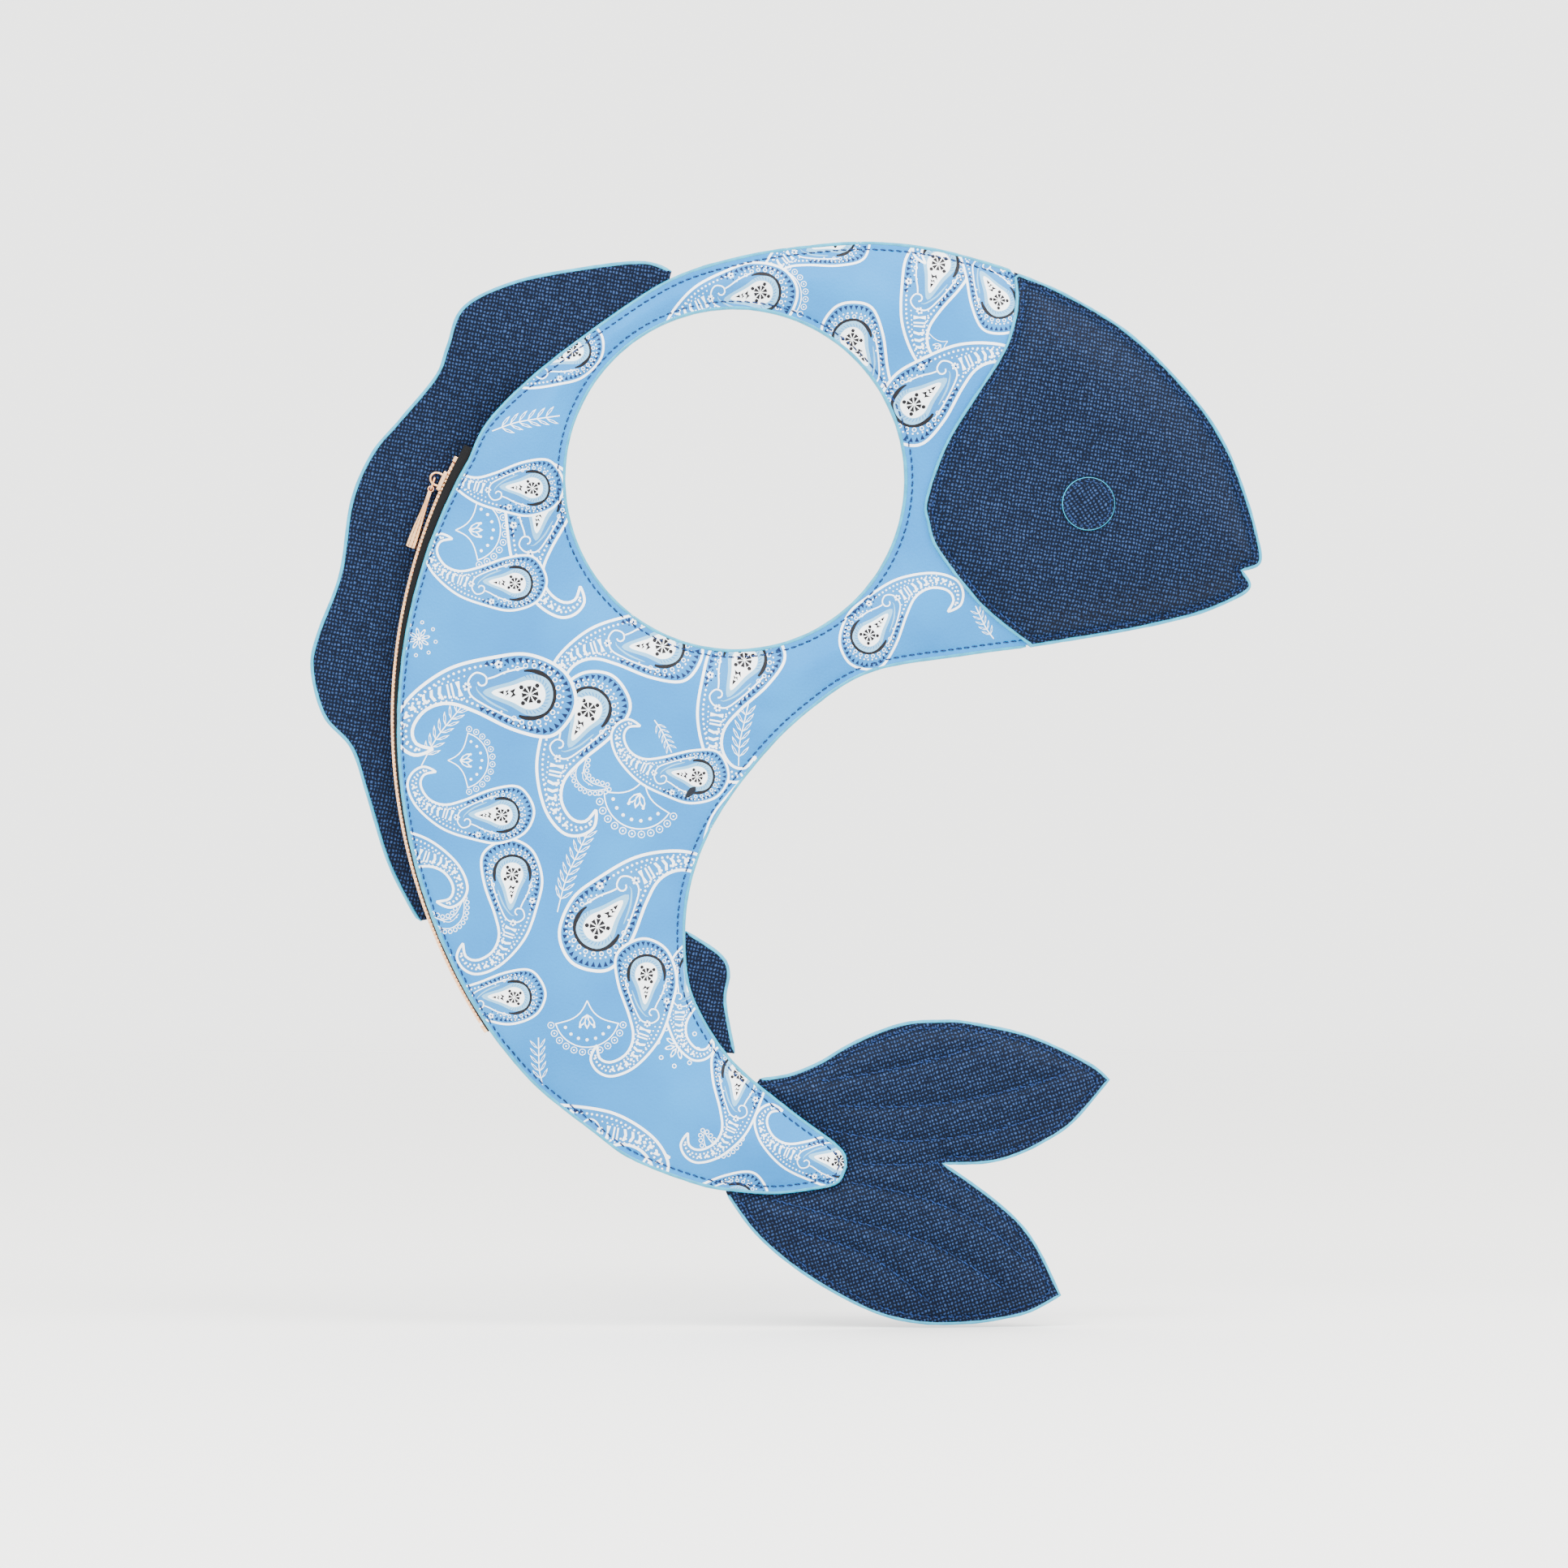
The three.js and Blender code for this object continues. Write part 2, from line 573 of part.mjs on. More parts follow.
// ---------------------------------------------------------------- lining
function inset(line, amount) {
  const moved = line.map((p, i) => {
    const a = line.at(i - 1);
    const b = line[(i + 1) % line.length];
    const along = b.clone().sub(a).normalize();
    return new THREE.Vector2(p.x + along.y * amount, p.y - along.x * amount);
  });
  return moved.filter((p) => inside(line, p.x, p.y) && distanceTo(line, p.x, p.y) > amount - POINT_MERGE);
}

function lining(side) {
  const height = side < 0 ? bodyFront : bodyBack;
  const skinward = -PANEL_T / 2 - LINING_GAP;
  const edge = inset(silhouette, LINING_INSET);
  const cut = sheet(side, edge, ...layer(height, skinward - LINING_T, skinward));
  const { min, max } = everything;
  const top = place([0, POCKET_TOP]).y;
  const pocket = cut.intersect(block(min.x, max.x, -DEEP, DEEP, min.y, top));
  return pocket.subtract(prism(hole(HOLE_R + LINING_HOLE_INSET)));
}

function headWadding(side) {
  const height = side < 0 ? bodyFront : bodyBack;
  const low = (x, z) => height(x, z) + PANEL_T / 2 + GAP;
  const high = (x, z) => headHeight(x, z) - HEAD_T / 2 - GAP;
  return sheet(side, inset(headOutline, WADDING_INSET), low, high);
}

// ---------------------------------------------------------------- assembly
const bag = new THREE.Group();

function add(name, solid, color, look = {}) {
  const material = new THREE.MeshStandardMaterial({ color, roughness: 0.6, metalness: 0, ...look });
  const mesh = new THREE.Mesh(toGeometry(solid), material);
  mesh.name = name;
  bag.add(mesh);
  return mesh;
}

function addOnChain(name, solid, angle) {
  const mesh = add(name, solid, COLOURS.gold, { roughness: 0.3, metalness: 1 });
  const p = onChain(angle);
  mesh.position.set(p.x, 0, p.y);
  mesh.rotation.y = Math.PI + rad(angle);
}

function addHanging(name, solid, pivot) {
  const mesh = add(name, solid, COLOURS.gold, { roughness: 0.3, metalness: 1 });
  mesh.position.set(pivot.x, 0, pivot.y);
  mesh.rotation.y = Math.PI + rad(PULL_TILT);
}

const sides = [["front", -1], ["back", 1]];
const skin = [-PANEL_T / 2, PANEL_T / 2];
const headSkin = [-HEAD_T / 2, HEAD_T / 2];
const tailSkin = [-TAIL_T / 2, TAIL_T / 2];
for (const [name, side] of sides) {
  const height = side < 0 ? bodyFront : bodyBack;
  add(`${name}_body_panel`, sheet(side, bodyOutline, ...layer(height, ...skin), [hole()]), COLOURS.panel);
  add(`${name}_lining`, lining(side), COLOURS.lining, { roughness: 0.9 });
  add(`${name}_head`, sheet(side, headOutline, ...layer(headHeight, ...headSkin)), COLOURS.navy);
  add(`${name}_head_wadding`, headWadding(side), COLOURS.wadding, { roughness: 1 });
  add(`${name}_tail`, sheet(side, tail, ...layer(tailHeight, ...tailSkin)), COLOURS.navy);
  add(`${name}_zip_tape`, tape(side), COLOURS.tape, { roughness: 0.9 });
  add(`${name}_zip_teeth`, teeth(side), COLOURS.gold, { roughness: 0.3, metalness: 1 });
  add(`${name}_top_stop`, stop(side), COLOURS.gold, { roughness: 0.3, metalness: 1 });

  const eye = place([154.3, -11]);
  const face = headHeight(eye.x, eye.y) + HEAD_T / 2 + GAP;
  const disc = new THREE.CylinderGeometry(EYE_R, EYE_R, EYE_T, 32);
  disc.translate(eye.x, side * (face + EYE_T / 2), eye.y);
  add(`${name}_eye`, toSolid(disc), COLOURS.navy);

  const finLow = side < 0 ? -finStack : GAP / 2;
  add(`${name}_dorsal_fin`, sheet(1, dorsalFin, ...layer(finMiddle, finLow, finLow + FIN_T)), COLOURS.navy);
  const flat = () => 0;
  const analLow = side < 0 ? -finStack : GAP / 2;
  add(`${name}_anal_fin`, sheet(1, analFin, ...layer(flat, analLow, analLow + FIN_T)), COLOURS.navy);
}

const stuffing = (x, z) => tailHeight(x, z) - TAIL_T / 2 - GAP;
add(
  "tail_wadding",
  sheet(1, inset(tail, WADDING_INSET / 2), (x, z) => -stuffing(x, z), stuffing),
  COLOURS.wadding,
  { roughness: 1 },
);
add("bottom_stop", bottomStop(), COLOURS.gold, { roughness: 0.3, metalness: 1 });
addOnChain("slider_body", sliderBody(), SLIDER_ANGLE);
addOnChain("slider_bail", bail(), SLIDER_ANGLE);
addHanging("pull_link", link(), linkPivot);
addHanging("pull_bar", pullBar(), pullPivot);

export default bag;
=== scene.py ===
"""Looks of the fish-shaped zipped handbag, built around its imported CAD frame."""
import json
import math

import bmesh
import bpy
import numpy as np
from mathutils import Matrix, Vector, geometry, noise


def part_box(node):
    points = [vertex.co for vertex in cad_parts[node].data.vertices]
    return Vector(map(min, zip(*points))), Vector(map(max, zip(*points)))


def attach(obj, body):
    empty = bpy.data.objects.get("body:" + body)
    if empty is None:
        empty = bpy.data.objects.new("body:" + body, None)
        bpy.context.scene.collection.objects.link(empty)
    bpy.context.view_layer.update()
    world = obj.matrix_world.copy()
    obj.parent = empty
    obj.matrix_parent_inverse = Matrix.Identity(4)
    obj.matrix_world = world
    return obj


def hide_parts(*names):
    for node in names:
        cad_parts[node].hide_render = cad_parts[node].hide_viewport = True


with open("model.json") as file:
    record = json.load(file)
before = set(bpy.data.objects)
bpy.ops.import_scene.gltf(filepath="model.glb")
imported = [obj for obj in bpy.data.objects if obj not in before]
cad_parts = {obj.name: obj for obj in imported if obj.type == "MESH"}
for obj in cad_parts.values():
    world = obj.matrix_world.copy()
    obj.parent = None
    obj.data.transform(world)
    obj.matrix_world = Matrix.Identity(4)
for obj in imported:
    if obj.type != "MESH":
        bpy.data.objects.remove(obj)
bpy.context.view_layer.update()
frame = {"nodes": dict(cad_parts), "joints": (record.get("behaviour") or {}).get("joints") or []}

MM = 0.001
SIDES = (("front", -1), ("back", 1))

# ---------------------------------------------------------------- sizes, in millimetres
HOLE_R = 75.0
LEATHER = 1.5
TAIL_LEATHER = 1.2
FIN_LEATHER = 1.0
GAP = 0.3
BODY_PUFF = 8.5
BODY_REACH = 40.0
HEAD_PUFF = 7.0
HEAD_REACH = 26.0
TAIL_PUFF = 4.5
TAIL_REACH = 16.0
STITCH_INSET = 3.2             # seam line inside a leather's edge
ZIP_STITCH_INSET = 2.1
STITCH_PITCH = 3.5
THREAD = 0.7
EDGE_PAINT = 0.85              # half the width of the bead of edge paint
EDGE_DEEP = 1.25               # how much deeper than wide the bead is
FIN_EDGE = 0.95
FIN_EDGE_DEEP = 1.55
BEAD_INSET = 0.5               # the bead's middle, inside the leather's cut edge
BEAD_UNEVEN = 0.18             # how much its width varies
TOOTH_PITCH = 1.9
TOOTH_H = 2.4
TOOTH_W = 2.2
CHAIN_SLOT = 0.8
TAPE = 0.6
TAPE_BEND = 5.0                # from the bag's middle to where the tape turns down
TAPE_RISE = 0.6
TAPE_REACH = 10.0              # how far the tape runs in behind the panel
SEWN_GAP = 0.1
TAIL_ROOT = 1.05               # how much the tail's root parts the two panels
TAIL_ROOT_GAP = 0.25
FLAT_SEAM = 0.9                # the tail's leathers part by this much at their seam
EYE_R = 11.4
EYE_T = 1.2

zip_joint = next(j for j in frame["joints"] if j["name"] == "zip_travel")
link_joint = next(j for j in frame["joints"] if j["name"] == "link_swing")
pull_joint = next(j for j in frame["joints"] if j["name"] == "pull_swing")
CHAIN_CENTRE = np.array([zip_joint["pos_m"][0], zip_joint["pos_m"][2]]) / MM
RIM_CENTRE = np.array([89.0, -109.5 - HOLE_R])
CHAIN_R = 248.2
RIM_R = 237.3
ZIP_TOP, ZIP_BOTTOM = 28.0, -32.5
RIM_TOP, RIM_BOTTOM = 29.6, -35.9
SLIDER_ANGLE = 24.7
HOLE_CENTRE = np.array([0.0, -HOLE_R])


# ---------------------------------------------------------------- outlines
# Points are [right, up] from the arm hole's centre, as the patterns are drawn.
def place(points):
    return np.array(points, float) + HOLE_CENTRE


def resample(line, step):
    length = np.r_[0, np.cumsum(np.linalg.norm(np.diff(line, axis=0), axis=1))]
    count = max(int(math.ceil(length[-1] / step)), 2)
    at = np.linspace(0, length[-1], count + 1)
    return np.stack([np.interp(at, length, line[:, k]) for k in range(line.shape[1])], 1)


def spline(points, step=2.5, closed=False):
    p = np.asarray(points, float)
    if closed:
        p = np.vstack([p[-1], p, p[0], p[1]])
    else:
        p = np.vstack([p[0], p, p[-1]])
    t = np.linspace(0, 1, 14, endpoint=False)[:, None]
    out = []
    for a, b, c, d in zip(p, p[1:], p[2:], p[3:]):
        out.append(0.5 * (2 * b + (c - a) * t + (2 * a - 5 * b + 4 * c - d) * t ** 2
                          + (3 * b - a - 3 * c + d) * t ** 3))
    out.append(p[-2][None] if not closed else p[1][None])
    return resample(np.vstack(out), step)


def smooth(points, step=2.5):
    return spline(place(points), step)


def arc(centre, r, start, end, step=2.5):
    count = int(math.ceil(abs(math.radians(end - start)) * r / step))
    a = np.radians(np.linspace(start, end, count + 1))
    return np.stack([centre[0] - r * np.cos(a), centre[1] + r * np.sin(a)], 1)


def join(*stretches, closed=True):
    p = np.vstack(stretches)
    keep = np.r_[True, np.linalg.norm(np.diff(p, axis=0), axis=1) > 0.3]
    p = p[keep]
    if closed and np.linalg.norm(p[0] - p[-1]) < 0.3:
        p = p[:-1]
    return p


def area(loop):
    x, z = loop[:, 0], loop[:, 1]
    return 0.5 * np.sum(x * np.roll(z, -1) - np.roll(x, -1) * z)


def leftward(loop):
    return loop if area(loop) > 0 else loop[::-1]


tail_to_zip = smooth([
    [48.8, -302.3], [45, -309.5], [35, -312], [18, -314], [2, -313], [-16, -310], [-45, -299], [-62, -287],
    [-87, -267], [-103.2, -248.6]])
zip_to_head = smooth([
    [-117.3, 7.7], [-109, 24.5], [-89, 45], [-60, 67.5], [-28, 88], [3, 98], [32, 102.7], [60, 104.5],
    [89, 101.6], [117.5, 94], [123, 91.5]])
head_rear = smooth([
    [123, 91.5], [123.6, 79], [121, 66], [115.7, 53.4], [94, 19], [84, -8], [84.5, -19], [89, -32],
    [108, -56], [131, -73.4]])
head_top = smooth([
    [123, 91.5], [146, 82], [175, 64.5], [203, 36.6], [218, 14], [227.5, -10.5], [231.4, -24.8]])
upper_lip = smooth([[231.4, -24.8], [233, -33], [231.5, -37.5], [224.6, -39.8]], 1.2)
lower_lip = smooth([[224.6, -39.8], [228.2, -45.5], [226, -49.5], [217.5, -54]], 1.2)
head_belly = smooth([[217.5, -54], [203, -59.5], [175, -66], [131, -73.4]])
belly = smooth([
    [131, -73.4], [103, -77], [60, -84.5], [32, -102], [9, -125], [-10.4, -153], [-20.7, -182],
    [-22, -210], [-17.5, -230.5], [-1.6, -255.5], [23.6, -277], [46, -294], [48.8, -302.3]])
head_margin = smooth([
    [130, -72.6], [133, -68], [114, -45], [97, -23], [94, -9], [98, 4], [115, 30], [131, 60], [133, 76],
    [127, 88.5]])
zip_rim = arc(RIM_CENTRE, RIM_R, RIM_BOTTOM, RIM_TOP)

silhouette = join(tail_to_zip, zip_rim, zip_to_head, head_top, upper_lip, lower_lip, head_belly, belly)
body_edge = join(belly[1:], tail_to_zip, zip_rim, zip_to_head, closed=False)
under_head_edge = resample(np.vstack([head_margin[:1], belly[11:12]]), 2.5)
body_outline = join(tail_to_zip, zip_rim, zip_to_head, head_margin[::-1], under_head_edge, belly[11:])
head_outline = join(head_top, upper_lip, lower_lip, head_belly, head_rear[::-1])
arm_hole = arc(HOLE_CENTRE, HOLE_R, 0, 360)[:-1]

dorsal_fin_edge = smooth([
    [-28, 91], [-41, 95], [-68, 92], [-97, 86], [-119, 75], [-126, 58], [-131, 45], [-147, 25.5],
    [-159, 11], [-168, -10], [-173, -42], [-183, -69], [-185.4, -84], [-180, -104], [-168, -118],
    [-161, -139], [-152, -168], [-141, -190], [-137.5, -194]])
dorsal_fin = join(
    dorsal_fin_edge,
    arc(RIM_CENTRE, RIM_R - 8, -21, RIM_TOP),
    smooth([[-106, 10], [-83, 36], [-57, 57.5], [-32, 77]]))
anal_fin_edge = smooth([[-22, -199], [-7, -209], [-3, -217], [-4.6, -230], [-0.5, -252.5]])
anal_fin = join(anal_fin_edge, smooth([[-9, -252], [-24, -231], [-29, -212], [-29, -203]]))
tail_upper = smooth([
    [10.7, -263.8], [24, -261.8], [37, -256.6], [50, -249], [64, -242.7], [77, -239], [90, -238.3],
    [103, -239], [130, -245], [156, -257], [165.4, -264.5]])
tail_inner = smooth([[165.4, -264.5], [149.4, -283], [136, -292], [123, -298], [110, -301], [92, -301.4]])
tail_lower_inner = smooth([
    [92, -301.4], [103, -308.8], [116, -318.6], [127, -329], [135, -341], [143.8, -359.5]])
tail_lower = smooth([
    [143.8, -359.5], [130, -366.8], [116, -370], [103, -371.6], [83, -371.6], [64, -367.5], [44, -358],
    [24, -345], [8, -330.5], [-3.8, -314]])
tail_edge = join(tail_upper, tail_inner, tail_lower_inner, tail_lower, closed=False)
tail = join(tail_edge, smooth([[-3.8, -314], [-6, -302], [-2, -285], [5, -272], [10.7, -263.8]]))
tail_rays = [smooth(points) for points in (
    [[37.8, -264.5], [63.6, -260.5], [90, -254.5], [113.8, -247.3]],
    [[45, -275.5], [71.4, -276], [96.6, -273.8], [123, -268.4], [145.4, -261.8]],
    [[37, -285], [50.4, -288], [71.4, -291], [92.5, -290], [116.4, -286], [144, -277]],
    [[55.6, -301.4], [76.8, -301.4], [90, -300.9]],
    [[51, -309.4], [70, -313], [90, -319], [110, -329], [129, -344.4]],
    [[16, -316.6], [30.5, -320.5], [50.4, -326], [76.8, -333], [96.6, -342], [117.8, -356]],
    [[28, -331], [45, -336], [63.6, -344.4], [85.4, -362]])]
EYE = place([[154.3, -11]])[0]


# ---------------------------------------------------------------- swelling of the soft sheets
def distance(line, p, closed=True):
    """Distance of each point from a line, in the plane of the pattern."""
    a = line
    b = np.roll(line, -1, axis=0)
    if not closed:
        a, b = a[:-1], b[:-1]
    d = b - a
    length = np.maximum((d ** 2).sum(1), 1e-9)
    out = np.empty(len(p))
    for i in range(0, len(p), 4000):
        q = p[i:i + 4000, None, :]
        t = np.clip(((q - a) * d).sum(2) / length, 0, 1)
        out[i:i + 4000] = np.sqrt((((q - a) - t[..., None] * d) ** 2).sum(2).min(1))
    return out


def inside(line, p):
    a = line
    b = np.roll(line, -1, axis=0)
    out = np.empty(len(p), bool)
    for i in range(0, len(p), 4000):
        q = p[i:i + 4000, None, :]
        cross = (a[:, 1] > q[..., 1]) != (b[:, 1] > q[..., 1])
        run = np.where(b[:, 1] == a[:, 1], 1e-9, b[:, 1] - a[:, 1])
        x = (b[:, 0] - a[:, 0]) * (q[..., 1] - a[:, 1]) / run + a[:, 0]
        out[i:i + 4000] = (cross & (q[..., 0] < x)).sum(1) % 2 == 1
    return out


def depth(line, p):
    return np.where(inside(line, p), distance(line, p), 0)


def swell(u):
    return 1 - (1 - np.clip(u, 0, 1)) ** 2


def ease(u):
    u = np.clip(u, 0, 1)
    return u * u * (3 - 2 * u)


def beside(line, p, reach):
    return ease(1.5 - np.where(inside(line, p), 0, distance(line, p)) / reach)


SEAM = GAP / 2 + LEATHER / 2
FIN_STACK = FIN_LEATHER + GAP / 2
ZIP_SEAM = TAPE_BEND + TAPE_RISE + TAPE / 2 + GAP + SEWN_GAP + LEATHER / 2
FIN_ROOM = 2 * FIN_STACK + 1.5 * GAP
fin_line = smooth([[-28, 91], [-45, 78], [-89, 45], [-117.3, 7.7]])


def zip_mouth(p):
    """1 along the zip, where the seam stands open, fading past its ends and inward."""
    d = p - CHAIN_CENTRE
    angle = np.degrees(np.arctan2(d[:, 1], -d[:, 0]))
    past = np.maximum(np.maximum(angle - ZIP_TOP - 2, ZIP_BOTTOM - 2 - angle), 0)
    inward = np.maximum(CHAIN_R - TAPE_REACH - 8 - np.hypot(d[:, 0], d[:, 1]), 0)
    return ease(1 - past / 12) * ease(1 - inward / 45)


def edge_height(p):
    fin = FIN_STACK * ease(1.5 - distance(fin_line, p, False) / 20)
    anal = (FIN_STACK + GAP) * beside(anal_fin, p, 16)
    root = (TAIL_LEATHER + TAIL_ROOT + GAP + TAIL_ROOT_GAP) * beside(tail, p, 24)
    soft = SEAM + np.maximum(np.maximum(fin, anal), root)
    mouth = zip_mouth(p)
    return soft + (ZIP_SEAM - soft) * mouth


# Soft folds of the body leather: a line, its depth and its width
FOLDS = (
    ([[-20, -138], [-30, -158], [-37, -184], [-36, -208]], 1.3, 7.5),
    ([[28, -107], [10, -101], [-8, -99]], 0.9, 5.0),
    ([[-48, -226], [-22, -250], [4, -282]], 0.8, 8.0),
    ([[-104, -205], [-88, -236], [-62, -262]], 0.7, 9.0),
    ([[-92, 12], [-78, -2], [-78, -20]], 0.5, 6.0),
    ([[60, 92], [84, 76], [96, 56]], 0.6, 7.0),
    ([[86, -48], [66, -62], [44, -78]], 0.6, 6.0))
FOLD_LINES = [(smooth(points), deep, wide) for points, deep, wide in FOLDS]


def slack(p):
    """Slow waves of a stuffed bag's leather, in millimetres."""
    x, z = p[:, 0], p[:, 1]
    return (0.45 * np.sin(x / 17 + 0.9 * np.sin(z / 31)) + 0.4 * np.sin(z / 21 - 0.7 * np.sin(x / 26) + 1.3)
            + 0.2 * np.sin((x + z) / 9.5 + 2.1))


def folds(p):
    return sum(deep * np.exp(-(distance(line, p, False) / wide) ** 2) for line, deep, wide in FOLD_LINES)


def pucker(rim, along):
    """Small gathers that the stitches pull into the leather next to a seam."""
    return 0.16 * np.exp(-((rim - 6.5) / 3.2) ** 2) * along


def ripple(p):
    x, z = p[:, 0], p[:, 1]
    return np.sin(x / 1.9 + 1.7 * np.sin(z / 7.3)) * np.sin(z / 2.1 + 1.3 * np.sin(x / 8.1))


def body_rim(p):
    return np.minimum(depth(silhouette, p), np.maximum(np.hypot(*(p - HOLE_CENTRE).T) - HOLE_R, 0))


def seam_inset(p):
    """The panel's stitches run closer to its edge along the zip."""
    return STITCH_INSET + (ZIP_STITCH_INSET - STITCH_INSET) * zip_mouth(p)


def body_front(p):
    rim = body_rim(p)
    seam = seam_inset(p)
    free = np.maximum(rim - seam, 0)
    puff = BODY_PUFF * swell(free / (BODY_REACH - STITCH_INSET))
    dent = -0.22 * np.exp(-((rim - seam) / 0.9) ** 2)
    settle = swell(free / 12) * folds(p)
    return edge_height(p) + puff + swell(free / 25) * slack(p) - settle + dent + pucker(rim, ripple(p))


def body_back(p):
    return body_front(p) + FIN_ROOM * zip_mouth(p)


def head_height(p):
    rear = distance(head_rear, p, False)
    step = (LEATHER + GAP) * ease(1.4 - rear / 28)
    rim = depth(head_outline, p)
    free = np.maximum(rim - STITCH_INSET, 0)
    dent = -0.2 * np.exp(-((rim - STITCH_INSET) / 0.9) ** 2)
    base = edge_height(p) + BODY_PUFF * swell(np.maximum(body_rim(p) - STITCH_INSET, 0) / (BODY_REACH - 1))
    base = base + 0.8 * swell(body_rim(p) / 25) * slack(p)
    puff = HEAD_PUFF * swell(free / (HEAD_REACH - STITCH_INSET))
    flat = ease((np.hypot(*(p - EYE).T) - EYE_R - 1) / 12)
    gathers = 0.6 * swell(free / 14) * slack(p) + pucker(rim, 1.5 * ripple(p))
    return base + step + puff + dent + flat * gathers


def tail_height(p):
    rim = depth(tail, p)
    clear = np.where(inside(body_outline, p), 0, np.maximum(distance(body_outline, p) - 2, 0))
    rays = np.min([distance(ray, p, False) for ray in tail_rays], axis=0)
    quilt = 1 - 0.42 * np.exp(-(rays / 3.2) ** 2)
    free = np.maximum(np.minimum(rim - STITCH_INSET, clear), 0)
    dent = -0.16 * np.exp(-((rim - STITCH_INSET) / 0.9) ** 2)
    return (TAIL_LEATHER / 2 + GAP / 2 + FLAT_SEAM * swell(rim / 8)
            + TAIL_PUFF * swell(free / (TAIL_REACH - STITCH_INSET)) * quilt
            + dent + pucker(rim, ripple(p)))


def fin_middle(p):
    return (ZIP_SEAM - LEATHER / 2 + FIN_ROOM / 2) * zip_mouth(p)


# ---------------------------------------------------------------- materials
def linear(code):
    """A web colour turned to the linear values that the shader takes."""
    parts = [int(code[i:i + 2], 16) / 255 for i in (1, 3, 5)]
    return [c / 12.92 if c <= 0.04045 else ((c + 0.055) / 1.055) ** 2.4 for c in parts] + [1.0]


def add(tree, kind, links=None, **settings):
    """Adds one node. links maps an input to another node's output; settings set inputs or properties."""
    node = tree.nodes.new(kind)
    for key, value in settings.items():
        socket = key.replace("_", " ")
        named = next((s for s in node.inputs if s.name.lower() == socket.lower()), None)
        if named is not None and not hasattr(node, key):
            named.default_value = value
        else:
            setattr(node, key, value)
    for key, output in (links or {}).items():
        tree.links.new(output, node.inputs[key])
    return node


def new_material(name, colour, roughness, metallic=0.0, **shader):
    material = bpy.data.materials.new(name)
    material.use_nodes = True
    tree = material.node_tree
    bsdf = tree.nodes["Principled BSDF"]
    bsdf.inputs["Base Color"].default_value = linear(colour)
    bsdf.inputs["Roughness"].default_value = roughness
    bsdf.inputs["Metallic"].default_value = metallic
    for key, value in shader.items():
        bsdf.inputs[key.replace("_", " ")].default_value = value
    return material, tree, bsdf


def per_mm(size):
    """Texture scale for a pattern whose cells are that many millimetres across, in metres."""
    return 1.0 / (size * MM)


def waves_per_mm(pitch):
    """The same for a wave texture, whose bands repeat 20 / (2 pi) times in one unit at scale 1."""
    return per_mm(pitch) / 20 * 2 * math.pi


def colour_and_emboss(tree, bsdf, tone, ramp_colours, stops, relief, deep_mm, strength):
    """Colours a surface from its dark colour to its light one by tone, and raises it by relief. On the
    crosshatched leather, the thread and the woven cloths the tone follows the relief, so there the light
    colour is a painted highlight on the raised parts and the dark one painted shade in the hollows.
    """
    ramp = add(tree, "ShaderNodeValToRGB", {"Fac": tone})
    for element, stop, dye in zip(ramp.color_ramp.elements, stops, ramp_colours):
        element.position, element.color = stop, linear(dye)
    grain = add(tree, "ShaderNodeBump", {"Height": relief}, Strength=strength, Distance=deep_mm * MM)
    tree.links.new(ramp.outputs["Color"], bsdf.inputs["Base Color"])
    tree.links.new(grain.outputs["Normal"], bsdf.inputs["Normal"])


def printed_leather(name, dark, light, roughness=0.48):
    """Coated split leather (PU) with a fine pebble grain, screen printed; the ink follows the grain."""
    material, tree, bsdf = new_material(name, light, roughness, Specular_IOR_Level=0.16)
    where = add(tree, "ShaderNodeTexCoord").outputs["Object"]
    # pebbles are drawn 1.1 mm across, coarser than life, so that they stay seen
    pebble = add(tree, "ShaderNodeTexVoronoi", {"Vector": where}, Scale=per_mm(1.1), Randomness=0.95)
    crease = add(tree, "ShaderNodeTexNoise", {"Vector": where}, Scale=per_mm(2.6), Detail=4.0, Roughness=0.6)
    height = add(tree, "ShaderNodeMath", {0: pebble.outputs["Distance"], 1: crease.outputs["Fac"]},
                 operation="ADD")
    cloud = add(tree, "ShaderNodeTexNoise", {"Vector": where}, Scale=per_mm(38), Detail=2.0)
    colour_and_emboss(tree, bsdf, cloud.outputs["Fac"], (dark, light), (0.3, 0.7),
                   height.outputs[0], 0.16, 0.8)
    rough = add(tree, "ShaderNodeMapRange", {"Value": crease.outputs["Fac"]}, To_Min=roughness - 0.05,
                To_Max=roughness + 0.08)
    tree.links.new(rough.outputs["Result"], bsdf.inputs["Roughness"])
    return material


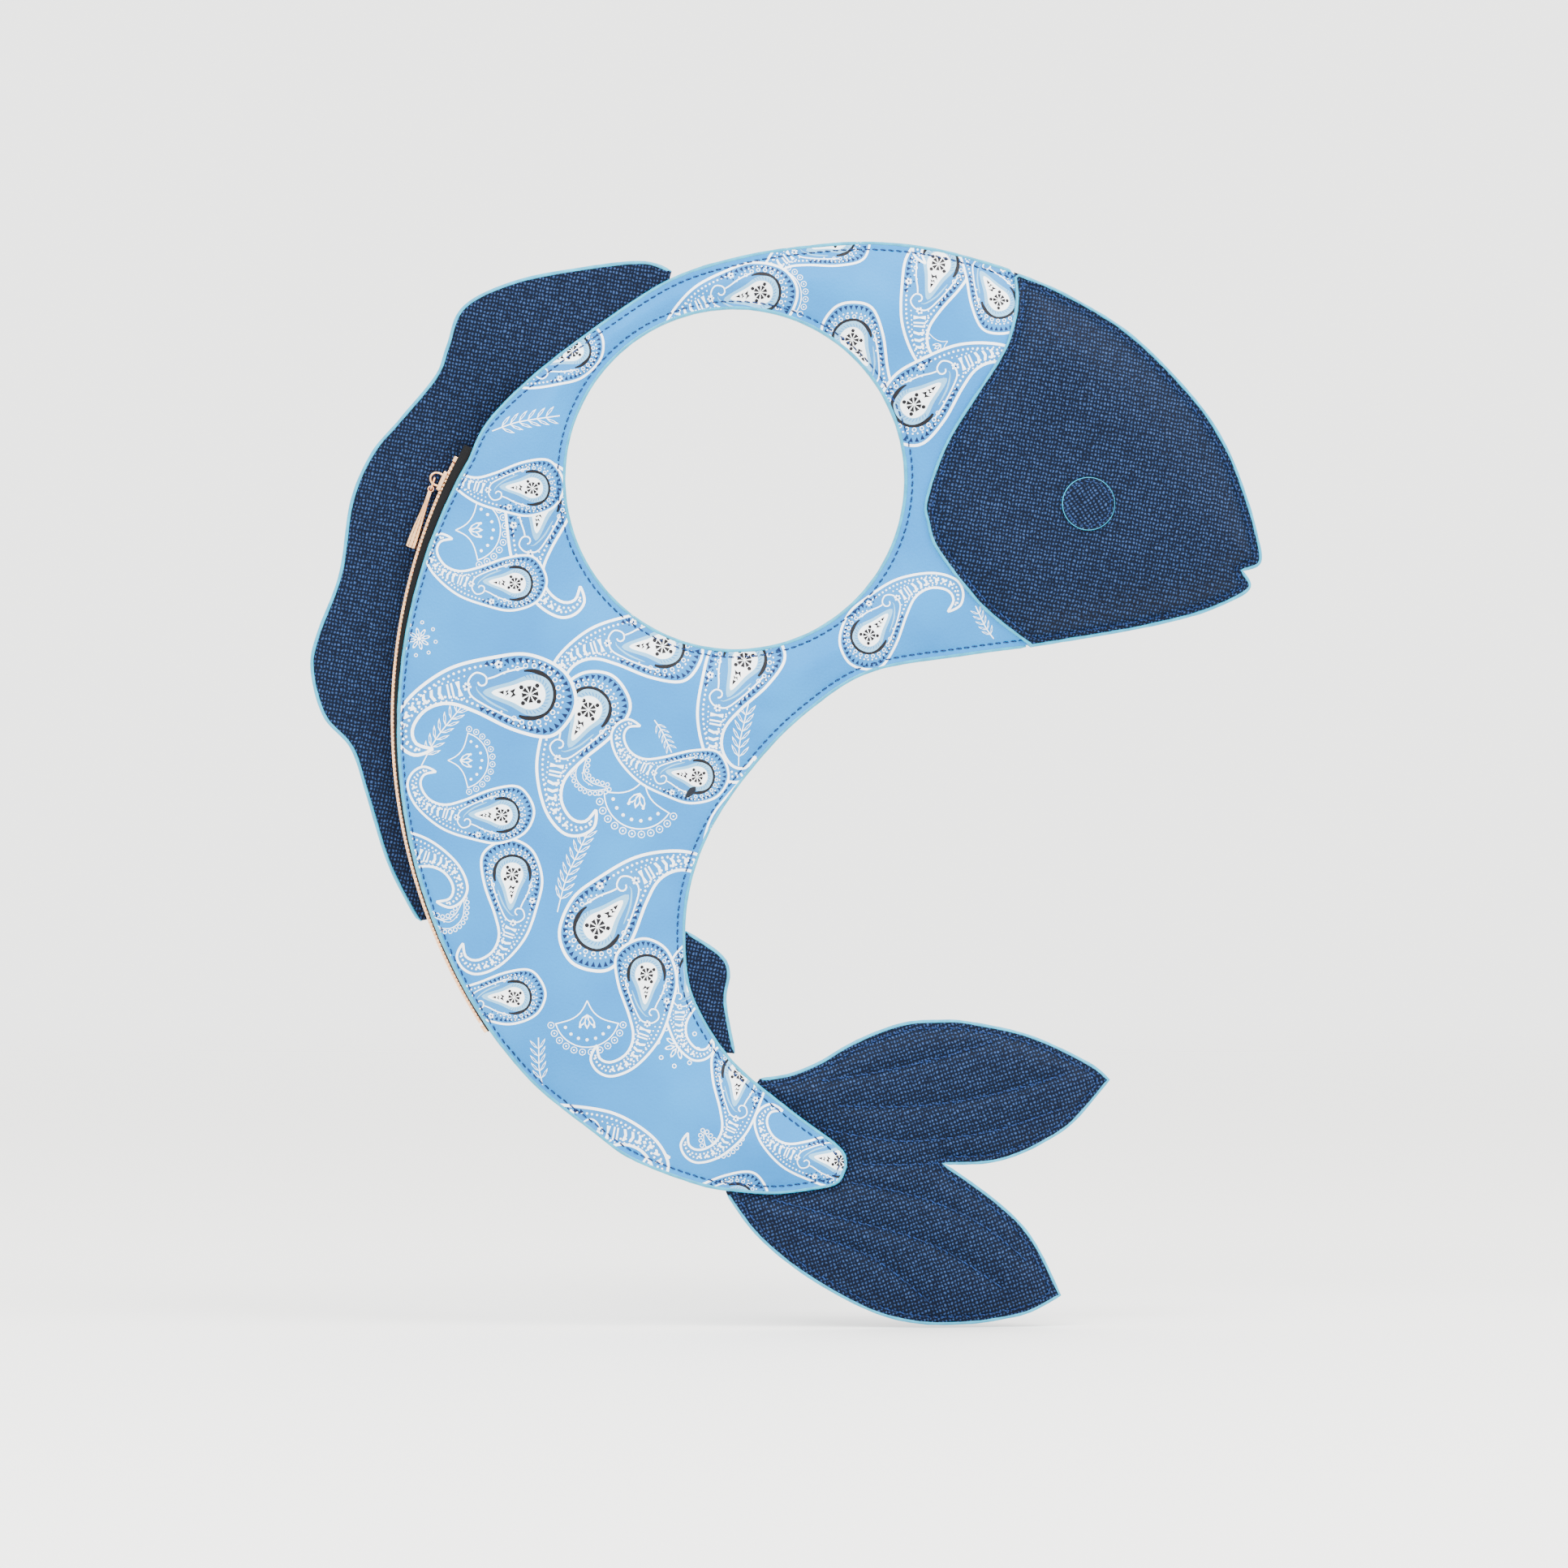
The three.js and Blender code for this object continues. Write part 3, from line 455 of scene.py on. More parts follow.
def crosshatched_leather(name, turn):
    """Split leather embossed by a plate with crossing lines: near-level ridges 1.75 mm apart, broken into
    dashes by near-upright ones 1.5 mm apart. The ridges catch the light; besides their bump, their colour is
    a painted highlight, paler than the valleys, which hold painted shade."""
    material, tree, bsdf = new_material(name, "#142A55", 0.48, Specular_IOR_Level=0.08)
    where = add(tree, "ShaderNodeTexCoord").outputs["Object"]
    turned = add(tree, "ShaderNodeMapping", {"Vector": where}, vector_type="TEXTURE")
    turned.inputs["Rotation"].default_value = (0, math.radians(turn), 0)
    # the plate's lines wander, so the coordinates are pushed about by a slow noise
    wander = add(tree, "ShaderNodeTexNoise", {"Vector": turned.outputs["Vector"]}, Scale=per_mm(5),
                 Detail=2.0)
    push = add(tree, "ShaderNodeVectorMath", {0: wander.outputs["Color"]}, operation="SCALE", Scale=1.6 * MM)
    pushed = add(tree, "ShaderNodeVectorMath", {0: turned.outputs["Vector"], 1: push.outputs["Vector"]},
                 operation="ADD")
    waves = []
    for tilt, pitch, wobble in ((101, 1.75, 3.0), (11, 1.5, 3.0)):
        lines = add(tree, "ShaderNodeMapping", {"Vector": pushed.outputs["Vector"]}, vector_type="TEXTURE")
        lines.inputs["Rotation"].default_value = (0, math.radians(tilt), 0)
        wave = add(tree, "ShaderNodeTexWave", {"Vector": lines.outputs["Vector"]}, bands_direction="X",
                   Scale=waves_per_mm(pitch), Distortion=wobble, Detail=3.0, Detail_Scale=2.2,
                   Detail_Roughness=0.7)
        waves.append(wave.outputs["Fac"])
    dashes = add(tree, "ShaderNodeMapRange", {"Value": waves[1]}, From_Min=0.1, From_Max=0.9, To_Min=0.12,
                 To_Max=1.0)
    both = add(tree, "ShaderNodeMath", {0: waves[0], 1: dashes.outputs["Result"]}, operation="MULTIPLY")
    uneven_ridge_tone = add(tree, "ShaderNodeTexNoise", {"Vector": where}, Scale=per_mm(2.0), Detail=3.0)
    thin = add(tree, "ShaderNodeMapRange", {"Value": uneven_ridge_tone.outputs["Fac"]}, From_Min=0.3, From_Max=0.7,
               To_Min=0.35, To_Max=1.2)
    # painted highlight: the ridges' pattern, made uneven by the noise above, sets the colour from the
    # valleys' dark navy to the ridges' paler navy
    dye = add(tree, "ShaderNodeMath", {0: both.outputs[0], 1: thin.outputs["Result"]}, operation="MULTIPLY")
    colour_and_emboss(tree, bsdf, dye.outputs[0], ("#01081A", "#2B4470"), (0.12, 0.95),
                   both.outputs[0], 0.28, 0.9)
    return material


def edge_paint():
    """Acrylic edge dye: a glossy turquoise bead, slightly uneven where it was rolled on."""
    material, tree, bsdf = new_material("turquoise_edge_paint", "#00B4DC", 0.3, Specular_IOR_Level=0.4)
    where = add(tree, "ShaderNodeTexCoord").outputs["Object"]
    rolled = add(tree, "ShaderNodeTexNoise", {"Vector": where}, Scale=per_mm(4), Detail=4.0)
    colour_and_emboss(tree, bsdf, rolled.outputs["Fac"], ("#0082A4", "#029ABC"), (0.35, 0.7),
                   rolled.outputs["Fac"], 0.25, 0.5)
    return material


def sewing_thread():
    """Bonded polyester thread, three plies twisted, so its light runs in slanting bands; these bands are also
    painted into its colour, a painted highlight on each ply and painted shade between plies, besides their
    bump.
    """
    material, tree, bsdf = new_material("navy_polyester_thread", "#0C2148", 0.6, Specular_IOR_Level=0.2)
    where = add(tree, "ShaderNodeTexCoord").outputs["Object"]
    plies = add(tree, "ShaderNodeTexWave", {"Vector": where}, bands_direction="DIAGONAL",
                Scale=waves_per_mm(0.8))
    # painted highlight on the plies and painted shade between them
    colour_and_emboss(tree, bsdf, plies.outputs["Fac"], ("#06142E", "#16346A"), (0.1, 0.9),
                   plies.outputs["Fac"], 0.06, 0.7)
    return material


def woven(name, dark, light, pitch, relief, roughness=0.85):
    """Plain woven polyester: matt, with threads over and under each other at the given spacing. Real threads
    are finer; these are drawn coarser so that they show."""
    material, tree, bsdf = new_material(name, light, roughness, Specular_IOR_Level=0.2)
    where = add(tree, "ShaderNodeTexCoord").outputs["Object"]
    turned = add(tree, "ShaderNodeMapping", {"Vector": where}, vector_type="TEXTURE")
    turned.inputs["Rotation"].default_value = (math.radians(8), math.radians(17), 0)
    warp = add(tree, "ShaderNodeTexWave", {"Vector": turned.outputs["Vector"]}, bands_direction="X",
               Scale=waves_per_mm(pitch))
    weft = add(tree, "ShaderNodeTexWave", {"Vector": turned.outputs["Vector"]}, bands_direction="Z",
               Scale=waves_per_mm(pitch))
    cloth = add(tree, "ShaderNodeMath", {0: warp.outputs["Fac"], 1: weft.outputs["Fac"]},
                operation="MULTIPLY")
    # painted highlight and painted shade: the colour is lighter where warp and weft cross high and darker in
    # the hollows between threads, besides the bump
    colour_and_emboss(tree, bsdf, cloth.outputs[0], (dark, light), (0.05, 0.8),
                   cloth.outputs[0], relief, 0.7)
    return material


def gold_plate():
    """Zinc die casting, tumbled smooth and plated pale rose gold: bright, soft-edged, faintly rubbed."""
    material, tree, bsdf = new_material("pale_gold_plated_zinc", "#E8B88A", 0.18, 1.0)
    where = add(tree, "ShaderNodeTexCoord").outputs["Object"]
    rubbed = add(tree, "ShaderNodeTexNoise", {"Vector": where}, Scale=per_mm(2.2), Detail=3.0)
    rough = add(tree, "ShaderNodeMapRange", {"Value": rubbed.outputs["Fac"]}, To_Min=0.14, To_Max=0.2)
    tree.links.new(rough.outputs["Result"], bsdf.inputs["Roughness"])
    colour_and_emboss(tree, bsdf, rubbed.outputs["Fac"], ("#E8B482", "#F0C294"), (0.3, 0.7),
                   rubbed.outputs["Fac"], 0.004, 0.15)
    return material


PRINT_GROUND = printed_leather("sky_blue_printed_pu", "#0070B4", "#057CC0")
PRINT_COLOURS = {
    "dull": printed_leather("dull_blue_ink_on_pu", "#166EAE", "#277CBA"),
    "pale": printed_leather("pale_blue_ink_on_pu", "#6AA4CA", "#7AB2D4"),
    "white": printed_leather("white_ink_on_pu", "#F2F9FD", "#FFFFFF"),
    "black": printed_leather("black_ink_on_pu", "#0E0C10", "#19171C"),
    "navy": printed_leather("navy_ink_on_pu", "#06183C", "#0C2450"),
    "sky": PRINT_GROUND,
}
PRINT_NAMES = list(PRINT_COLOURS)
NAVY_LEATHER = crosshatched_leather("navy_crosshatched_leather", 0)
EYE_LEATHER = crosshatched_leather("navy_crosshatched_leather_turned", 45)
TAIL_NAVY = crosshatched_leather("navy_crosshatched_leather_slanted", -30)
PAINT = edge_paint()
THREAD_NAVY = sewing_thread()
TAPE_CLOTH = woven("black_zip_tape_weave", "#020203", "#0C0C0E", 0.6, 0.12)
LINING_CLOTH = woven("charcoal_lining_weave", "#14171D", "#2A2F39", 0.5, 0.08, 0.9)
BACKING = woven("grey_knit_leather_backing", "#8B939B", "#B4BCC3", 0.7, 0.1, 0.95)
WADDING = woven("polyester_wadding_fibre", "#D9D6CF", "#F3F1EC", 1.6, 0.4, 1.0)
GOLD = gold_plate()


# ---------------------------------------------------------------- meshes
def new_object(name, verts, faces, materials, numbers=None, smoothed=True):
    """A mesh object from millimetres, in the bag's frame."""
    mesh = bpy.data.meshes.new(name)
    mesh.from_pydata((np.asarray(verts) * MM).tolist(), [], [list(map(int, f)) for f in faces])
    for material in materials:
        mesh.materials.append(material)
    if numbers is not None:
        mesh.polygons.foreach_set("material_index", np.asarray(numbers, np.int32))
    mesh.polygons.foreach_set("use_smooth", np.full(len(mesh.polygons), smoothed))
    mesh.update()
    made = bpy.data.objects.new(name, mesh)
    bpy.context.scene.collection.objects.link(made)
    return made


def inset(line, amount, closed=True):
    """The line moved to its left by amount, without the points that come too close to it."""
    if closed:
        along = np.roll(line, -1, axis=0) - np.roll(line, 1, axis=0)
    else:
        along = np.gradient(line, axis=0)
    along /= np.maximum(np.linalg.norm(along, axis=1), 1e-9)[:, None]
    moved = line + np.asarray(amount)[..., None] * np.stack([-along[:, 1], along[:, 0]], 1)
    return moved[distance(line, moved, closed) > np.abs(amount) - 0.12]


def triangulate(outer, holes, points, inks=()):
    """Triangles inside outer and outside holes, and for each the number of the topmost ink or -1."""
    loops = [leftward(outer)] + [leftward(h) for h in holes] + [leftward(ink) for ink in inks]
    starts = np.cumsum([0] + [len(loop) for loop in loops])
    flat = np.vstack(loops + [points])
    faces = [list(range(starts[i], starts[i + 1])) for i in range(len(loops))]
    verts, _, tris, _, _, sources = geometry.delaunay_2d_cdt(
        [Vector(p) for p in flat.tolist()], [], faces, 0, 1e-3, True)
    first_ink = 1 + len(holes)
    flat, tris = np.array([v[:] for v in verts]), np.array(tris)
    middle = flat[tris].mean(1)
    keep = inside(outer, middle)
    for hole in holes:
        keep &= ~inside(hole, middle)
    tops = np.array([max(source, default=0) - first_ink for source in sources])
    used, index = np.unique(tris[keep], return_inverse=True)
    return flat[used], index.reshape(-1, 3), np.maximum(tops, -1)[keep]


def grid_points(outer, holes, spacing, margin):
    low, high = outer.min(0), outer.max(0)
    xs = np.arange(low[0], high[0], spacing)
    zs = np.arange(low[1], high[1], spacing * 0.866)
    grid = np.array([(x + (j % 2) * spacing / 2, z) for j, z in enumerate(zs) for x in xs])
    keep = inside(outer, grid) & (distance(outer, grid) > margin)
    for h in holes:
        keep &= ~inside(h, grid) & (distance(h, grid) > margin)
    return grid[keep]


ROWS = (0.9, 1.8, 2.6, 3.2, 3.8, 4.6, 5.8, 7.2, 9.0, 11.2, 13.8)


def surface_points(outer, holes, spacing, rows=ROWS, lines=()):
    rings = [inset(leftward(outer), r) for r in rows]
    rings += [inset(leftward(h)[::-1], r) for h in holes for r in rows]
    rings = [ring[inside(outer, ring)] for ring in rings if len(ring)]
    for line in lines:
        rings += [inset(line, side, False) for side in (-3, -1.8, -0.8, 0.8, 1.8, 3)] + [line]
    margin = (max(rows) if rows else 0) + spacing * 0.5
    every = np.vstack(rings + [grid_points(outer, holes, spacing, margin)])
    keep = inside(outer, every)
    for h in holes:
        keep &= ~inside(h, every)
    return every[keep]


def sheet(name, side, outer, lift, thickness, materials, holes=(), inks=(), numbers=(), spacing=6.0,
          rows=ROWS, lines=()):
    """A leather sheet: a fine outer face with its inks, its painted cut edge and a plain inner face.

    Its first material is the leather, the last but one the edge's and the last one the backing."""
    flat, tris, tops = triangulate(outer, holes, surface_points(outer, holes, spacing, rows, lines), inks)
    wall, back = len(materials) - 2, len(materials) - 1
    half = thickness / 2
    height = lift(flat)
    verts = [np.stack([flat[:, 0], side * (height + half), flat[:, 1]], 1)]
    turn = (lambda f: f) if side < 0 else (lambda f: f[:, ::-1])
    faces = [turn(tris)]
    colours = [np.array([numbers[t] if t >= 0 else 0 for t in tops], int)]

    edges = np.vstack([tris[:, [0, 1]], tris[:, [1, 2]], tris[:, [2, 0]]])
    count = {}
    for a, b in edges:
        count[(min(a, b), max(a, b))] = count.get((min(a, b), max(a, b)), 0) + 1
    border = np.array([(a, b) for a, b in edges if count[(min(a, b), max(a, b))] == 1])
    used = np.unique(border)
    index = {v: i for i, v in enumerate(used)}
    rim = flat[used]
    start = len(flat)
    for offset in (half, -half):
        verts.append(np.stack([rim[:, 0], side * (height[used] + offset), rim[:, 1]], 1))
    n = len(used)
    walls = np.array([(start + index[b], start + index[a], start + n + index[a], start + n + index[b])
                      for a, b in border])
    walls = walls if side < 0 else walls[:, ::-1]
    flat_in, tris_in, _ = triangulate(outer, holes, surface_points(outer, holes, 9.0, (3.2, 7.0), lines))
    verts.append(np.stack([flat_in[:, 0], side * (lift(flat_in) - half), flat_in[:, 1]], 1))
    inner = turn(tris_in[:, ::-1]) + start + 2 * n
    colours += [np.full(len(walls), wall), np.full(len(inner), back)]
    all_faces = [f for part in (faces[0], walls, inner) for f in part.tolist()]
    return new_object(name, np.vstack(verts), all_faces, materials, np.concatenate(colours))


def frames(path, closed):
    """The two directions across a path in space, one of them in the bag's own plane."""
    if closed:
        t = np.roll(path, -1, axis=0) - np.roll(path, 1, axis=0)
    else:
        t = np.gradient(path, axis=0)
    t /= np.maximum(np.linalg.norm(t, axis=1), 1e-9)[:, None]
    up = np.tile([0.0, 1.0, 0.0], (len(path), 1))
    across = np.cross(t, up)
    across /= np.maximum(np.linalg.norm(across, axis=1), 1e-9)[:, None]
    return across, np.cross(across, t)


def tube(path, radius, closed=True, sides=10, flatten=1.0, uneven=0.0, taper=True):
    """Vertices and faces of a round bead along a path."""
    u, v = frames(path, closed)
    a = np.linspace(0, 2 * math.pi, sides, endpoint=False)
    r = np.full(len(path), radius)
    if uneven:
        r = r * (1 + uneven * np.array([noise.noise(Vector((p * 0.23).tolist())) for p in path]))
    if not closed and taper:
        r[0] *= 0.55
        r[-1] *= 0.55
    ring = (path[:, None, :] + r[:, None, None] * (np.cos(a)[None, :, None] * u[:, None, :]
            + flatten * np.sin(a)[None, :, None] * v[:, None, :]))
    n = len(path)
    faces = []
    for i in range(n if closed else n - 1):
        j = (i + 1) % n
        for k in range(sides):
            m = (k + 1) % sides
            faces.append((i * sides + k, i * sides + m, j * sides + m, j * sides + k))
    if not closed:
        faces.append(tuple(range(sides))[::-1])
        faces.append(tuple((n - 1) * sides + k for k in range(sides)))
    return ring.reshape(-1, 3), faces


def merged(name, parts, material):
    verts, faces, start = [], [], 0
    for v, f in parts:
        verts.append(np.asarray(v, float))
        faces += [tuple(i + start for i in face) for face in f]
        start += len(v)
    return new_object(name, np.vstack(verts), faces, [material])


def raised(side, path, height):
    return np.stack([path[:, 0], side * height, path[:, 1]], 1)


# One stitch: a short thread that rises from one needle hole and dives into the next.
STITCH_SIDES, STITCH_RINGS = 7, 8


def stitch_row(side, path, lift, closed=True, pitch=STITCH_PITCH, thread=THREAD):
    ring_path = np.vstack([path, path[:1]]) if closed else path
    length = np.r_[0, np.cumsum(np.linalg.norm(np.diff(ring_path, axis=0), axis=1))]
    count = max(int(round(length[-1] / pitch)), 1)
    at = (np.arange(count) + 0.5) * length[-1] / count
    half = 0.5 * length[-1] / count * 0.86
    s = np.linspace(-1, 1, STITCH_RINGS)
    stations = at[:, None] + half * s[None, :]
    pos = np.stack([np.interp(stations, length, ring_path[:, k]) for k in (0, 1)], -1)
    height = lift(pos.reshape(-1, 2)).reshape(count, STITCH_RINGS)
    arch = thread * (0.42 - 0.95 * np.abs(s) ** 3.2)
    centre = np.stack([pos[..., 0], side * (height + arch[None, :]), pos[..., 1]], -1)
    t = centre[:, -1] - centre[:, 0]
    t /= np.linalg.norm(t, axis=1)[:, None]
    out = np.tile([0.0, float(side), 0.0], (count, 1))
    across = np.cross(t, out)
    across /= np.linalg.norm(across, axis=1)[:, None]
    out = np.cross(across, t)
    a = np.linspace(0, 2 * math.pi, STITCH_SIDES, endpoint=False)
    r = thread / 2 * np.sqrt(np.maximum(1 - 0.55 * s ** 4, 0.1))
    slant = 0.16 * s[None, :, None] * across[:, None, :]
    ring = ((centre + slant)[:, :, None, :]
            + r[None, :, None, None] * (np.cos(a)[None, None, :, None] * across[:, None, None, :]
                                        + np.sin(a)[None, None, :, None] * out[:, None, None, :]))
    block = STITCH_RINGS * STITCH_SIDES
    template = [(i * STITCH_SIDES + k, i * STITCH_SIDES + (k + 1) % STITCH_SIDES,
                 (i + 1) * STITCH_SIDES + (k + 1) % STITCH_SIDES, (i + 1) * STITCH_SIDES + k)
                for i in range(STITCH_RINGS - 1) for k in range(STITCH_SIDES)]
    faces = [tuple(v + b * block for v in f) for b in range(count) for f in template]
    return ring.reshape(-1, 3), faces


def solid_block(size, centre, bevel, segments=2):
    """Vertices and faces of a block with rounded edges."""
    bm = bmesh.new()
    bmesh.ops.create_cube(bm, size=1)
    bmesh.ops.scale(bm, vec=size, verts=bm.verts)
    bmesh.ops.bevel(bm, geom=bm.edges[:], offset=bevel, segments=segments, profile=0.6, affect="EDGES")
    bmesh.ops.translate(bm, vec=centre, verts=bm.verts)
    verts = np.array([v.co[:] for v in bm.verts])
    faces = [tuple(v.index for v in f.verts) for f in bm.faces]
    bm.free()
    return verts, faces


def loft(sections):
    """Vertices and faces of a closed form through rings of equal count."""
    rings = np.array(sections)
    n, k = rings.shape[:2]
    faces = [(i * k + a, i * k + (a + 1) % k, (i + 1) * k + (a + 1) % k, (i + 1) * k + a)
             for i in range(n - 1) for a in range(k)]
    faces += [tuple(range(k))[::-1], tuple((n - 1) * k + a for a in range(k))]
    return rings.reshape(-1, 3), faces


def finish_piece(piece, body, slot, *nodes):
    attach(piece, body)
    if nodes:
        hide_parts(*nodes)


def bead(side, path, lift, closed, deep=EDGE_DEEP):
    """The bead of paint on a leather's cut edge."""
    return tube(raised(side, path, lift(path)), EDGE_PAINT, closed, 10, deep, BEAD_UNEVEN)


def painted(name, slot, *beads):
    finish_piece(merged(name, beads, PAINT), "bag", slot)


def sewn(name, *rows):
    finish_piece(merged(name, rows, THREAD_NAVY), "bag", "navy_leather")


# ---------------------------------------------------------------- bandana print
# Each motif is drawn at unit size and laid down in turn, so a later one covers an earlier one.
def way(a):
    """The unit direction at an angle in radians."""
    return np.array([math.cos(a), math.sin(a)])


def turned_to(shape, toward):
    """A shape drawn along +x, turned to a unit direction."""
    return np.array(shape) @ np.array([toward, [-toward[1], toward[0]]])


class Screen:
    """Collects ink shapes, in the order in which they are printed."""

    def __init__(self):
        self.shapes, self.inks = [], []
        self.at, self.turn, self.size, self.curl = np.zeros(2), np.eye(2), 1.0, 1

    def stand(self, at, angle, size, curl=1):
        a = math.radians(angle)
        self.at, self.size, self.curl = np.array(at) + HOLE_CENTRE, size, curl
        self.turn = np.array([[math.cos(a), math.sin(a)], [-math.sin(a), math.cos(a)]])

    def fill(self, ink, shape):
        shape = np.asarray(shape, float) * [1, self.curl] * self.size @ self.turn + self.at
        seen = inside(body_outline, shape) & (np.hypot(*(shape - HOLE_CENTRE).T) > HOLE_R)
        if seen.any():
            self.shapes.append(shape)
            self.inks.append(ink)

    def dot(self, ink, at, r, sides=6):
        a = np.linspace(0, 2 * math.pi, sides, endpoint=False)
        self.fill(ink, np.array(at) + r * np.stack([np.cos(a), np.sin(a)], 1))

    def ring(self, at, r, line, inside_ink="dull", sides=9):
        self.dot("white", at, r, sides)
        self.dot(inside_ink, at, r - line, sides)

    def outlined(self, shape, share=0.6):
        """A white shape with the ground showing through its middle."""
        self.fill("white", shape)
        self.fill("sky", (shape - shape.mean(0)) * share + shape.mean(0))

    def stroke(self, ink, line, width, taper=False):
        line = np.asarray(line, float)
        t = np.gradient(line, axis=0)
        t /= np.maximum(np.linalg.norm(t, axis=1), 1e-9)[:, None]
        half = np.full(len(line), width / 2)
        if taper:
            half *= np.sin(np.linspace(0.06, 0.97, len(line)) * math.pi) ** 0.6
        n = np.stack([-t[:, 1], t[:, 0]], 1) * half[:, None]
        self.fill(ink, np.vstack([line + n, (line - n)[::-1]]))

    def spike(self, ink, at, toward, long, wide):
        toward = np.asarray(toward, float)
        toward = toward / np.linalg.norm(toward)
        n = np.array([-toward[1], toward[0]])
        at = np.array(at)
        self.fill(ink, [at - n * wide / 2, at + toward * long, at + n * wide / 2])


def circle_line(at, r, start=0, end=360, count=16):
    """Points on a circle, in degrees."""
    a = np.radians(np.linspace(start, end, count))
    return np.array(at) + r * np.stack([np.cos(a), np.sin(a)], 1)


PAISLEY = spline([
    (-1.14, 0.05), (-0.93, 0.68), (-0.48, 1.02), (0.36, 0.9), (1.29, 0.54), (1.93, 0.39), (2.43, 0.57),
    (2.7, 1.0), (2.6, 1.34), (2.18, 1.46), (2.64, 1.68), (3.07, 1.43), (3.21, 0.93), (2.86, 0.21),
    (2.0, -0.5), (0.93, -0.86), (0.07, -0.98), (-0.79, -0.64)], 0.1, True)[:-1][::-1]
PAISLEY_TAIL = spline([
    (1.5, -0.08), (1.85, 0.04), (2.25, 0.17), (2.65, 0.4), (2.92, 0.75), (2.96, 1.05), (2.84, 1.4)], 0.05)
DROP = spline([(-0.37, 0), (-0.26, 0.27), (0.04, 0.36), (0.4, 0.22), (0.93, 0.02), (0.4, -0.2),
               (0.04, -0.34), (-0.26, -0.26)], 0.07, True)[:-1]


TAIL_LENGTH = np.r_[0, np.cumsum(np.linalg.norm(np.diff(PAISLEY_TAIL, axis=0), axis=1))]


def along_tail(s):
    """A point on the paisley's tail, and the directions along and across it there."""
    p, q = (np.array([np.interp(at, TAIL_LENGTH, PAISLEY_TAIL[:, k]) for k in (0, 1)])
            for at in (s, s + 0.05))
    t = (q - p) / max(np.linalg.norm(q - p), 1e-6)
    return p, t, np.array([-t[1], t[0]])


